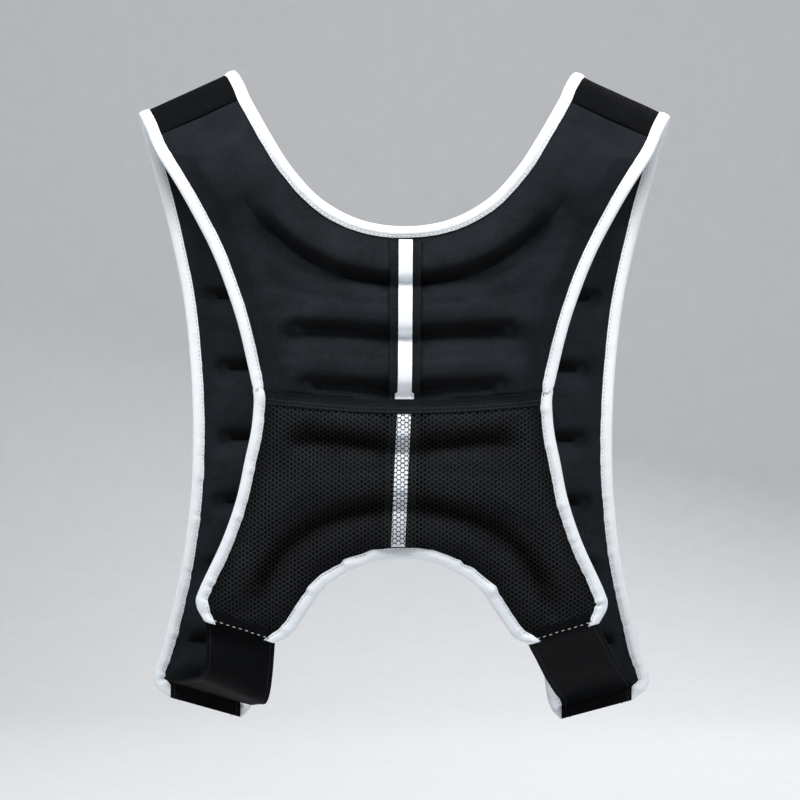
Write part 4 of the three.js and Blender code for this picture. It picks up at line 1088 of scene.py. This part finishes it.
pocket_top = back_row(row_of["pocket_mouth"])["places"][-1][1]
pocket_foot = back_row(row_of["pocket"])["places"][-1][1]
TAPE_UNDER = WEB_THICK + 0.4
SEAM_HEIGHTS = [back_row(row_of[name])["places"][-1][1] for name in reversed(BACK_SEAMS)]
SEAM_HEIGHTS.append(back_inner[NECK_AT, 1] - COLLAR)


def tape_strip(name, foot, top, flap):
    zs = np.arange(foot, top, 0.7)
    xs = np.array([-5, -4.85, -3.6, -1.8, 0, 1.8, 3.6, 4.85, 5])
    if flap:
        xs = xs * np.ones((len(zs), 1)) * (1 + 0.36 * smooth((flap - zs) / 1.0))[:, None]
    dip = sum(np.exp(-((zs - z) / 1.5) ** 2) for z in SEAM_HEIGHTS)
    swing = 0.25 * ripples_along(zs, 91, 8, 9, 30)
    thick = (TAPE_THICK + 0.5 - 0.75 * dip + swing)[:, None] - 0.25 * (np.abs(xs) / 5) ** 4
    thing = piece(flat_strip(name, zs, xs, TAPE_UNDER, thick, REFLECTIVE), "reflective_tape", name)


tape_strip("reflective_strip_upper", pocket_top + GAP, web_top, pocket_top + 5.5)
tape_strip("reflective_strip_lower", web_foot, pocket_foot - GAP, None)
print("Webbing is", round(web_top - web_foot), "mm long")

# %% [markdown]
# The pocket is a net of hexagonal holes, drawn over the lower puffs. First comes a guide, a smooth sheet
# that spans the panel's high places as drawn cloth does. Then Geometry Nodes set one cell of net on every
# place of a staggered grid, merge the cells into one net and drop it on to the guide with rays.

# %% The surface that the net lies on
FIELD = 1.5
field_x = np.arange(-150, 150.1, FIELD)
field_z = np.arange(-412, -205, FIELD)
bare = np.array([[skin_depth(back_skin, x, z) for x in field_x] for z in field_z])
field_at = np.stack(np.meshgrid(field_x, field_z), -1)
plain = -place(BACK, field_at)[..., 1]
known = ~np.isnan(bare)
NOTHING = -1e3  # a depth that stands for no cloth at a place
high = np.where(known, bare, NOTHING)
for xi in np.nonzero(np.abs(field_x) < 14)[0]:
    over = np.abs(field_x[xi] - centre_at(field_z)) < 12
    strip_top = web_depth(field_z) + TAPE_UNDER + TAPE_THICK + 0.45
    high[:, xi] = np.maximum(high[:, xi], np.where(over & (field_z > web_foot), strip_top, NOTHING))


def spread_field(values, reach, pick):
    """Each value's neighbourhood, a square of the given reach in cells, brought to one number."""
    for axis in (0, 1):
        stack = [np.roll(values, k, axis) for k in range(-reach, reach + 1)]
        values = pick(stack)
    return values


tops = spread_field(high, 2, lambda s: np.max(s, axis=0))
tops = np.where(tops < 0, plain + EDGE / 2, tops)
for _ in range(3):
    tops = spread_field(tops, 1, lambda s: np.mean(s, axis=0))
sag = 0.5 * ripples(101, 18, 18, 60)(np.insert(field_at, 2, 0, -1))
guide_depth = np.maximum(tops - 1.2 + sag, high + 0.35)
guide_depth = np.where(high < 0, tops, guide_depth)
for _ in range(2):
    guide_depth = spread_field(guide_depth, 1, lambda s: np.mean(s, axis=0))
guide_depth = np.maximum(guide_depth, high + 0.3)
flat_at = field_at.reshape(-1, 2)
mirrored_at = mirrored(flat_at)
arm_line, hem_line = edges[BACK][0], edges[BACK][1]
margin = distance(mirrored_at, [arm_line, hem_line, ends[BACK][0]])[0]
EDGE_HOLD = 13.0
skin_hold = np.where(high > 0, high, plain + EDGE / 2) + 0.3
free_share = smooth((margin.reshape(guide_depth.shape) - COVER) / EDGE_HOLD)
guide_depth = skin_hold + (guide_depth - skin_hold) * free_share
ABOVE_ALL = [[0, 60]]  # a point on the centre line that closes the outline far over the pocket
closed = np.vstack([arm_line, ABOVE_ALL, hem_line[::-1]])


def inside_outline(at, polygon):
    """Even-odd test of places against a closed outline."""
    inside = np.zeros(len(at), bool)
    for a, b in zip(polygon, np.roll(polygon, -1, axis=0)):
        crosses = (a[1] > at[:, 1]) != (b[1] > at[:, 1])
        with np.errstate(divide="ignore", invalid="ignore"):
            x = a[0] + (at[:, 1] - a[1]) / (b[1] - a[1]) * (b[0] - a[0])
        inside ^= crosses & (at[:, 0] < x)
    return inside


NET_UNDER = 4.5
wanted = inside_outline(mirrored_at, closed) & (margin > COVER - NET_UNDER)
wanted &= flat_at[:, 1] < pocket_mouth_z(flat_at[:, 0]) + 1.5
guide_points = np.stack([flat_at[:, 0], -guide_depth.reshape(-1), flat_at[:, 1]], -1)
guide_quads = grid_quads(*guide_depth.shape)[:, [0, 3, 2, 1]]
guide = new_object("guide", guide_points, guide_quads.tolist(), NET)
mark = guide.data.attributes.new("wanted", "FLOAT", "POINT")
mark.data.foreach_set("value", wanted.astype(float))
print("Guide cells wanted:", int(wanted.sum()))

# %% One cell of the net, and the tree that repeats it
NET_ACROSS, NET_UP = 5.33, 1.7
STRAND, STRAND_HIGH = 0.2, 0.22
half = NET_ACROSS / 2
diagonal = (half ** 2 + NET_UP ** 2) / 2
corners = [(diagonal / half, 0), ((diagonal - NET_UP ** 2) / half, NET_UP)]
corners += [(-corners[1][0], NET_UP), (-corners[0][0], 0)]
corners += [(-corners[1][0], -NET_UP), (corners[1][0], -NET_UP)]
rim = np.array([point for p, q in zip(corners, corners[1:] + corners[:1]) for point in (p, np.add(p, q) / 2)])
reach = np.linalg.norm(rim, axis=1)
hole = unit(rim) * (reach.min() - STRAND + 0.35 * (reach - reach.min()))[:, None]
sides = len(rim)
levels = ((rim, -STRAND_HIGH), (hole, 0), (rim, STRAND_HIGH))
cell_points = np.vstack([np.insert(ring, 1, level, 1) for ring, level in levels])
cell_faces = []
for i in range(sides):
    j = (i + 1) % sides
    cell_faces += [(i, j, sides + j, sides + i), (sides + i, sides + j, 2 * sides + j, 2 * sides + i)]
cell = new_object("net_cell", cell_points, cell_faces, NET)

OBJECT_IN, MATERIAL_IN, GEOMETRY_IN = "NodeSocketObject", "NodeSocketMaterial", "NodeSocketGeometry"
net_tree, start, end = group_tree(
    "net_over_guide", "GeometryNodeTree",
    {"Geometry": (GEOMETRY_IN, None), "Guide": (OBJECT_IN, None), "Cell": (OBJECT_IN, None),
     "Across": (FLOAT, 0.0033), "Up": (FLOAT, 0.0018), "Finish": (MATERIAL_IN, None)},
    {"Geometry": GEOMETRY_IN})
_, guide_in, cell_in, across_in, up_in, finish_in = start.outputs[:6]
surface = add(net_tree, "GeometryNodeObjectInfo", {"Object": guide_in}).outputs["Geometry"]
shape = add(net_tree, "GeometryNodeObjectInfo", {"Object": cell_in}).outputs["Geometry"]
NET_COLUMNS, NET_ROWS = 58, 62
START_Y, NET_MIDDLE_Z = -0.2, -0.308  # where the flat net starts out, behind the back
lattices = []
for shift in (0.0, 0.5):
    net_grid = add(net_tree, "GeometryNodeMeshGrid", {
        "Size X": maths(net_tree, "MULTIPLY", across_in, NET_COLUMNS - 1.0),
        "Size Y": maths(net_tree, "MULTIPLY", up_in, 2.0 * (NET_ROWS - 1)),
        "Vertices X": NET_COLUMNS, "Vertices Y": NET_ROWS}).outputs["Mesh"]
    offset = add(net_tree, "ShaderNodeCombineXYZ", {
        0: maths(net_tree, "MULTIPLY", across_in, shift), 1: START_Y,
        2: maths(net_tree, "MULTIPLY_ADD", up_in, 2.0 * shift, NET_MIDDLE_Z)}).outputs[0]
    lattices.append(add(net_tree, "GeometryNodeTransform", {
        "Geometry": net_grid, "Translation": offset, "Rotation": (math.pi / 2, 0, 0)}).outputs[0])
both = add(net_tree, "GeometryNodeJoinGeometry")
for lattice in lattices:
    net_tree.links.new(lattice, both.inputs[0])


def cast(source, attribute=None):
    values = {"Target Geometry": surface, "Source Position": source,
              "Ray Direction": (0, 1, 0), "Ray Length": 1.0}
    if attribute:
        values["Attribute"] = attribute
    return add(net_tree, "GeometryNodeRaycast", values)


here = add(net_tree, "GeometryNodeInputPosition").outputs[0]
named = add(net_tree, "GeometryNodeInputNamedAttribute", {"Name": "wanted"}, data_type="FLOAT").outputs[0]
chosen = cast(here, named)
unwanted = add(net_tree, "FunctionNodeCompare", {0: chosen.outputs["Attribute"], 1: 0.5},
               data_type="FLOAT", operation="LESS_THAN").outputs[0]
kept = add(net_tree, "GeometryNodeDeleteGeometry", {"Geometry": both.outputs[0], "Selection": unwanted},
           domain="POINT")
cells = add(net_tree, "GeometryNodeInstanceOnPoints", {"Points": kept.outputs[0], "Instance": shape})
loose = add(net_tree, "GeometryNodeRealizeInstances", {"Geometry": cells.outputs[0]})
net = add(net_tree, "GeometryNodeMergeByDistance", {"Geometry": loose.outputs[0], "Distance": 0.00004})
here_xyz = add(net_tree, "ShaderNodeSeparateXYZ", {0: here})
flat_here = add(net_tree, "ShaderNodeCombineXYZ", {
    0: here_xyz.outputs[0], 1: 2 * START_Y, 2: here_xyz.outputs[2]}).outputs[0]
landed = cast(flat_here)
above = maths(net_tree, "MULTIPLY", maths(net_tree, "ADD", here_xyz.outputs[1], -START_Y), -1.0)
raised = add(net_tree, "ShaderNodeVectorMath", {0: landed.outputs["Hit Normal"], "Scale": above},
             operation="SCALE")
where = add(net_tree, "ShaderNodeVectorMath", {0: landed.outputs["Hit Position"], 1: raised.outputs[0]},
            operation="ADD")
laid = add(net_tree, "GeometryNodeSetPosition", {"Geometry": net.outputs[0], "Position": where.outputs[0]})
soft = add(net_tree, "GeometryNodeSetShadeSmooth", {"Geometry": laid.outputs[0]})
done = add(net_tree, "GeometryNodeSetMaterial", {"Geometry": soft.outputs[0], "Material": finish_in})
net_tree.links.new(done.outputs[0], end.inputs[0])


def grown(name, source, tree, values):
    """The result of a Geometry Nodes tree on an object, as a plain mesh object of its own."""
    modifier = source.modifiers.new(tree.name, "NODES")
    modifier.node_group = tree
    for item in tree.interface.items_tree:
        if item.item_type == "SOCKET" and item.in_out == "INPUT" and item.name in values:
            modifier[item.identifier] = values[item.name]
    mesh = bpy.data.meshes.new_from_object(source.evaluated_get(bpy.context.evaluated_depsgraph_get()))
    source.modifiers.remove(modifier)
    mesh.name = name
    thing = bpy.data.objects.new(name + "_cloth", mesh)
    scene.collection.objects.link(thing)
    return thing


seed_mesh = new_object("net_start", [(0, 0, 0)], [], NET)
pocket = grown("mesh_pocket", seed_mesh, net_tree, {
    "Guide": guide, "Cell": cell, "Across": NET_ACROSS * MM, "Up": NET_UP * MM, "Finish": NET})
net_at = np.abs(points_of(pocket)[:, [0, 2]]) * [1, -1]
# Painted shade on the net: the attribute "fold" darkens it over the seams and beside the bindings.
net_painted_shade = net_shade(net_at, distance(net_at, seams[BACK])[0])
pocket.data.attributes.new("fold", "FLOAT", "POINT").data.foreach_set("value", net_painted_shade.astype(np.float32))
piece(pocket, "mesh", "mesh_pocket")
print("The net has", triangles(pocket), "triangles and", len(pocket.data.vertices), "points")


# %% [markdown]
# The band at the pocket's mouth is a folded knit edge that lies on the net and carries two close rows of
# stitches. It is read off the guide, so it spans the puffs like the net does. A short plain hem closes the
# net at each leg's end, under the pale stitches.

# %% Band at the pocket's mouth


def guide_at(x, z):
    """Depth of the guide surface at places, between its grid's values."""
    i = np.clip((z - field_z[0]) / FIELD, 0, len(field_z) - 1.001)
    j = np.clip((x - field_x[0]) / FIELD, 0, len(field_x) - 1.001)
    a, b = i.astype(int), j.astype(int)
    u, v = i - a, j - b
    g = guide_depth
    return (g[a, b] * (1 - u) + g[a + 1, b] * u) * (1 - v) + (g[a, b + 1] * (1 - u) + g[a + 1, b + 1] * u) * v


def over_net(at, lift=0.0):
    """Points on the guide at places (x, z), and the directions out of it."""
    x, z = at[..., 0], at[..., 1]
    depth = guide_at(x, z)
    slope_x = (guide_at(x + 1.5, z) - guide_at(x - 1.5, z)) / 3
    slope_z = (guide_at(x, z + 1.5) - guide_at(x, z - 1.5)) / 3
    normal = unit(np.stack([-slope_x, -np.ones_like(x), -slope_z], -1))
    return np.stack([x, -depth, z], -1) + normal * lift, normal


def full_row(s, from_edge, columns=70):
    """Places right across the back at one row, from under one arm binding to under the other."""
    row = back_row(s)
    first, last = row["arm"] + row["inward"] * from_edge, row["places"][-1]
    right = across(first, last, columns)
    right[:, 1] = last[1] + (first[1] - last[1]) * np.linspace(1, 0, columns + 1) ** 2
    return np.vstack([right * FLIP, right[-2::-1]])


BAND_LINES = 49
band_span = np.linspace(row_of["pocket"] - 0.11, row_of["pocket_mouth"] + 0.02, BAND_LINES)
band_rows = np.array([full_row(s, COVER - 0.8) for s in band_span])
band_under, band_normal = over_net(band_rows, 0.3)
share = np.linspace(0, 1, BAND_LINES)[:, None]
roll = 0.25 + 0.4 * smooth(np.minimum(share, 1 - share) / 0.08) + 0.16 * np.sin(2 * np.pi * 9 * share)
roll = roll + 0.1 * ripples(111, 16, 9, 40)(band_under)
from_end = np.minimum(np.arange(roll.shape[1]), np.arange(roll.shape[1])[::-1])
roll *= 0.35 + 0.65 * smooth(from_end / 6)
band = piece(strip("pocket_band", band_under, band_normal, 0.0, roll, KNIT_EDGE), "elastic", "pocket_band")
band_length = run_along(band_under[BAND_LINES // 2])[-1]
print("Pocket band is", round(band_length), "mm long")

# %% Hems of the net at the leg ends
HEM_HIGH, HEM_INSET, HEM_UP = 8.5, 4.5, 0.4


def leg_line(inset, up, steps):
    """Places across the right leg's end, some way in from both bindings and up from the end."""
    foot_a, foot_b = back_rows[0]["arm"], back_rows[0]["inner"]
    along = unit(foot_b - foot_a)
    upward = turned(along) * (1 if turned(along)[1] > 0 else -1)
    return across(foot_a + along * inset, foot_b - along * inset, steps) + upward * up


for side in (1, -1):
    places = np.array([leg_line(HEM_INSET, HEM_UP + up, 26) for up in np.linspace(0.0, HEM_HIGH, 9)])
    under, normal = over_net(places * [side, 1], 0.15)
    if side < 0:
        under, normal = under[:, ::-1], normal[:, ::-1]
    wave = 0.12 * ripples(121 + side, 10, 6, 22)(under)
    hem = strip("net_hem", under, normal, 0.0, 0.75 + wave, ELASTIC)
    pocket.data.materials.append(ELASTIC)
    pair = [pocket, hem]
    with bpy.context.temp_override(
            active_object=pocket, selected_editable_objects=pair, selected_objects=pair):
        bpy.ops.object.join()
pocket_span = pocket_mouth_z(0.0) - field_z[wanted.reshape(guide_depth.shape).any(1)].min()
pocket_wide = np.ptp(field_x[wanted.reshape(guide_depth.shape).any(0)])
print("The pocket with its hems has", triangles(pocket), "triangles")
print("Laid flat it is", round(pocket_wide), "by", round(pocket_span), "mm")

# %% [markdown]
# A wide elastic strap joins each leg of the back to a front half. The left one is slack and hangs to a
# fold before it turns forward; the right one is pulled straight. Their two edges are smooth curves through
# a few points of the same rule as the solid's, and the cloth is spanned between them.

# %% Side straps
STRAP_THICK, STRAP_DROP, STRAP_CLEAR, STRAP_SEWN = 2, 30, 0.9, 12
SIDE_STRAPS = {"left": (-1, 0.12, [(0, 1), (0.12, 1.15), (0.5, 0.7), (0.88, 0.18)]),
               "right": (1, 0, [(0.25, 0.06), (0.5, 0.1), (0.75, 0.06)])}


def centripetal(points, samples):
    """A curve through points whose pace follows their spacing, so that it never loops."""
    points = np.vstack([2 * points[0] - points[1], points, 2 * points[-1] - points[-2]])
    out = []
    for t in np.linspace(0, len(points) - 3, samples + 1):
        i = min(int(t), len(points) - 4)
        w = t - i
        p0, p1, p2, p3 = points[i:i + 4]
        d0, d1, d2 = (max(np.linalg.norm(b - a) ** 0.5, 1e-4) for a, b in ((p0, p1), (p1, p2), (p2, p3)))
        m = ((p1 - p0) / d0 - (p2 - p0) / (d0 + d1) + (p2 - p1) / d1) * d1
        n = ((p2 - p1) / d1 - (p3 - p1) / (d1 + d2) + (p3 - p2) / d2) * d1
        out.append(((2 * p1 - 2 * p2 + m + n) * w - 3 * p1 + 3 * p2 - 2 * m - n) * w * w + m * w + p1)
    return np.array(out)


def end_face(face, at):
    back = EDGE / 2 + GAP + WALL + STRAP_CLEAR + STRAP_THICK / 2
    return place(face, at) - place_normal(face, at) * back


def strap_edge(back_at, front_at, lead, run):
    tucked, leave = end_face(BACK, back_at + [0, TUCK]), end_face(BACK, back_at)
    sewn, foot = end_face(FRONT, front_at + [0, STRAP_SEWN]), end_face(FRONT, front_at)
    hanging = [leave + (sewn - leave) * (lead + (1 - lead) * forward) - [0, 0, STRAP_DROP * fall]
               for forward, fall in run]
    return np.array([tucked, (tucked + leave) / 2, leave, *hanging, sewn, (sewn + foot) / 2, foot])


STRAP_STEPS, SEWN_ROWS = 150, 16
strap_edge_lines = []
for word, (side, lead, run) in SIDE_STRAPS.items():
    top, foot = back_rows[0], front_rows[-1]
    arm_side = centripetal(strap_edge(top["arm"], foot["arm"], 0, run), STRAP_STEPS)
    inner_side = centripetal(strap_edge(top["inner"], foot["inner"], lead, run), STRAP_STEPS)
    t = np.concatenate([[0, 0.012, 0.03], np.linspace(0.05, 0.95, 120), [0.97, 0.988, 1]])[::-1]
    middle = arm_side[:, None] + (inner_side - arm_side)[:, None] * t[:, None]
    along = np.gradient(middle, axis=0)
    normal = -unit(np.cross(middle[:, :1] - middle[:, -1:], along))
    width = np.linalg.norm(inner_side - arm_side, axis=1).mean()
    relief = 0.16 * np.abs(np.sin(np.pi * t * width / 1.7)) * smooth(np.minimum(t, 1 - t) / 0.02)
    wave = 0.5 * ripples(131 + side, 10, 30, 80)(middle)
    from_start = np.arange(len(middle)) - SEWN_ROWS
    wave *= (smooth(from_start / 20) * smooth(from_start[::-1] / 20))[:, None]
    middle, normal = middle * [side, 1, 1], normal * [side, 1, 1]
    for column in (4, -5):
        for sign in (1, -1):
            lift = (wave[:, column] + sign * (STRAP_THICK / 2 + 0.05))[:, None]
            strap_edge_lines.append(middle[:, column] + normal[:, column] * lift)
    strap = strip("side_strap_" + word, middle, normal, -STRAP_THICK / 2 + 0.2 + wave - relief,
                  STRAP_THICK / 2 - 0.2 + wave + relief, ELASTIC)
    piece(strap, "elastic", "side_strap_" + word)
    length = run_along(middle[:, 60])[-1]
    print(strap.name, "is", round(width), "by", round(length), "mm flat, with", triangles(strap), "triangles")

# %% [markdown]
# Two chest straps close the front. The photograph doesn't show them, so they are plain: ribbed webbing
# sewn on to each front half, with a simple side release buckle at the middle.

# %% Chest straps
CHEST_WIDTH, CHEST_HOLD, STITCH_FROM = 25, 62, 22
CHEST_COLUMNS = np.array([-1, -0.97, -0.9, -0.85, -0.6, -0.3, 0, 0.3, 0.6, 0.85, 0.9, 0.97, 1])
front_skins = {side: skin_of(front_panels[side]) for side in (1, -1)}
strap_lines = []
for word, (above, below) in {"upper": (3, 4), "lower": (5, 6)}.items():
    z = (curve_at(front_inner, above)[0, 1] + curve_at(front_inner, below)[0, 1]) / 2
    node_low, node_high = (np.array(c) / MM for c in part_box(f"chest_strap_{word}_right"))
    for side, hand in ((1, "right"), (-1, "left")):
        x = np.arange(node_low[0], node_high[0], 0.35)
        probe = []
        for at in x[::6]:
            hits = [front_skins[side].ray_cast((side * at, 400, z + k), (0, -1, 0))[0]
                    for k in (-12, -6, 0, 6, 12)]
            probe.append(max([h[1] for h in hits if h] or [0]))
        depth = np.interp(x, x[::6], draped(np.array(probe), 2)) + GAP
        peak = depth.argmax()
        depth[:peak] = np.maximum(depth[peak], node_low[1])
        zs = z + CHEST_WIDTH / 2 * CHEST_COLUMNS
        base = np.stack(np.broadcast_arrays(side * x[:, None], depth[:, None], zs), -1)
        edge_bead = np.exp(-((np.abs(zs - z) - 11.2) / 0.8) ** 2)
        high = 1.1 + ribbed(x, 1.6, 0.4)[:, None] * (1 - edge_bead) + 0.15 * edge_bead
        up = np.broadcast_to([0.0, 1.0, 0.0], base.shape)
        web = strip(f"chest_strap_{word}_{hand}", base, up, 0.0, high, WEBBING)
        piece(web, "webbing", f"chest_strap_{word}_{hand}")
        held = (x > node_high[0] - CHEST_HOLD + STITCH_FROM) & (x < node_high[0] - 3)
        for k in (-10.2, 10.2):
            strap_lines.append(np.stack([side * x[held], depth[held] + 1.75, np.full(held.sum(), z + k)], -1))
for word in ("upper", "lower"):
    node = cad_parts[f"chest_buckle_{word}"]
    node.data.materials.clear()
    node.data.materials.append(PLASTIC)
print("Chest straps and buckles are done")

# %% [markdown]
# Stitches repeat along paths, which is what Geometry Nodes are good at: a path becomes a curve, the curve
# is cut into even steps, and a small grain of thread is set on each step, turned along the path. One tree
# sews every seam of the vest, with its own pitch and thread.

# %% The stitch tree
stitch_tree, start, end = group_tree(
    "stitch_row", "GeometryNodeTree",
    {"Geometry": (GEOMETRY_IN, None), "Pitch": (FLOAT, 0.003), "Length": (FLOAT, 0.0022),
     "Thickness": (FLOAT, 0.0005), "Thread": (MATERIAL_IN, None)}, {"Geometry": GEOMETRY_IN})
path_in, pitch_in, length_in, thick_in, thread_in = start.outputs[:5]
path = add(stitch_tree, "GeometryNodeMeshToCurve", {0: path_in})
steps = add(stitch_tree, "GeometryNodeResampleCurve", {"Curve": path.outputs[0], "Length": pitch_in},
            mode="LENGTH")
bead = add(stitch_tree, "GeometryNodeMeshIcoSphere", {"Radius": 0.5, "Subdivisions": 1})
lying = add(stitch_tree, "ShaderNodeCombineXYZ", {0: length_in, 1: thick_in, 2: thick_in})
drawn = add(stitch_tree, "GeometryNodeTransform", {
    "Geometry": bead.outputs["Mesh"], "Scale": lying.outputs[0]})
tangent = add(stitch_tree, "GeometryNodeInputTangent")
turn_to = add(stitch_tree, "FunctionNodeAlignRotationToVector", {"Vector": tangent.outputs[0]}, axis="X")
sewn = add(stitch_tree, "GeometryNodeInstanceOnPoints", {
    "Points": steps.outputs[0], "Instance": drawn.outputs[0], "Rotation": turn_to.outputs[0]})
plain = add(stitch_tree, "GeometryNodeRealizeInstances", {"Geometry": sewn.outputs[0]})
round_it = add(stitch_tree, "GeometryNodeSetShadeSmooth", {"Geometry": plain.outputs[0]})
coloured = add(stitch_tree, "GeometryNodeSetMaterial", {
    "Geometry": round_it.outputs[0], "Material": thread_in})
stitch_tree.links.new(coloured.outputs[0], end.inputs[0])


def sew(name, lines, slot, thread, pitch, length, thick):
    """Stitches along lines of points in mm, as one piece."""
    points, links = [], []
    for line in lines:
        first = len(points)
        points.extend(np.asarray(line) * MM)
        links.extend((first + i, first + i + 1) for i in range(len(line) - 1))
    mesh = bpy.data.meshes.new(name + "_path")
    mesh.from_pydata([tuple(p) for p in points], links, [])
    source = bpy.data.objects.new(name + "_path", mesh)
    scene.collection.objects.link(source)
    thing = grown(name, source, stitch_tree, {
        "Pitch": pitch * MM, "Length": length * MM, "Thickness": thick * MM, "Thread": thread})
    bpy.data.objects.remove(source)
    piece(thing, slot)
    print(name, "has", triangles(thing), "triangles")
    return thing


# %% Sewing
sew("binding_stitches", binding_lines, "binding", GREY_THREAD, 3.3, 2.5, 0.42)
skins = {BACK: {1: back_skin, -1: back_skin}, FRONT: front_skins}


def on_skin(face, side, line, outer=True):
    """A line of places dropped on to a panel's outer or inner face."""
    out = []
    for x, z in line:
        y = face * 400 if outer else 0
        hit = skins[face][side].ray_cast((side * x, y, z), (0, -face if outer else face, 0))[0]
        if hit:
            out.append((hit[0], hit[1] + (face if outer else -face) * 0.12, hit[2]))
    return out


quilt_lines = [on_skin(face, side, line, outer) for face in (BACK, FRONT) for side in (1, -1)
               for line in seams[face] for outer in (True, False)]
quilt_lines = [line for line in quilt_lines if len(line) > 3]
sew("quilting_stitches", quilt_lines, "neoprene", DARK_THREAD, 3.4, 2.6, 0.45)
pocket_lines = []
for s in (row_of["pocket"] - 0.04, row_of["pocket"] + 0.13):
    pocket_lines.append(over_net(full_row(s, COVER + 1), 1.05)[0])
sew("pocket_stitches", pocket_lines, "elastic", DIM_THREAD, 2.2, 1.3, 0.5)
leg_lines = []
for side in (1, -1):
    leg_lines.append(over_net(leg_line(7, 2.4, 40) * [side, 1], 1.05)[0])
sew("leg_end_stitches", leg_lines, "binding", PALE_THREAD, 4.3, 3.0, 0.75)
end_lines = []
for side in (1, -1):
    for line in seams[BACK][:3]:
        start_at = line[0] + (line[0] - line[1]) / np.linalg.norm(line[0] - line[1]) * 1.0
        end_lines.append(on_skin(BACK, side, np.linspace(start_at, line[1], 4)))
sew("seam_end_stitches", [line for line in end_lines if len(line) > 2], "binding", DIM_THREAD, 2.2, 1.6, 0.45)
sew("side_strap_stitches", strap_edge_lines, "elastic", DIM_THREAD, 1.7, 1.3, 0.35)
sew("chest_strap_stitches", strap_lines, "webbing", DARK_THREAD, 3.2, 2.4, 0.5)

# %% Remove the helpers and finish
for helper in (guide, cell, seed_mesh):
    bpy.data.objects.remove(helper)
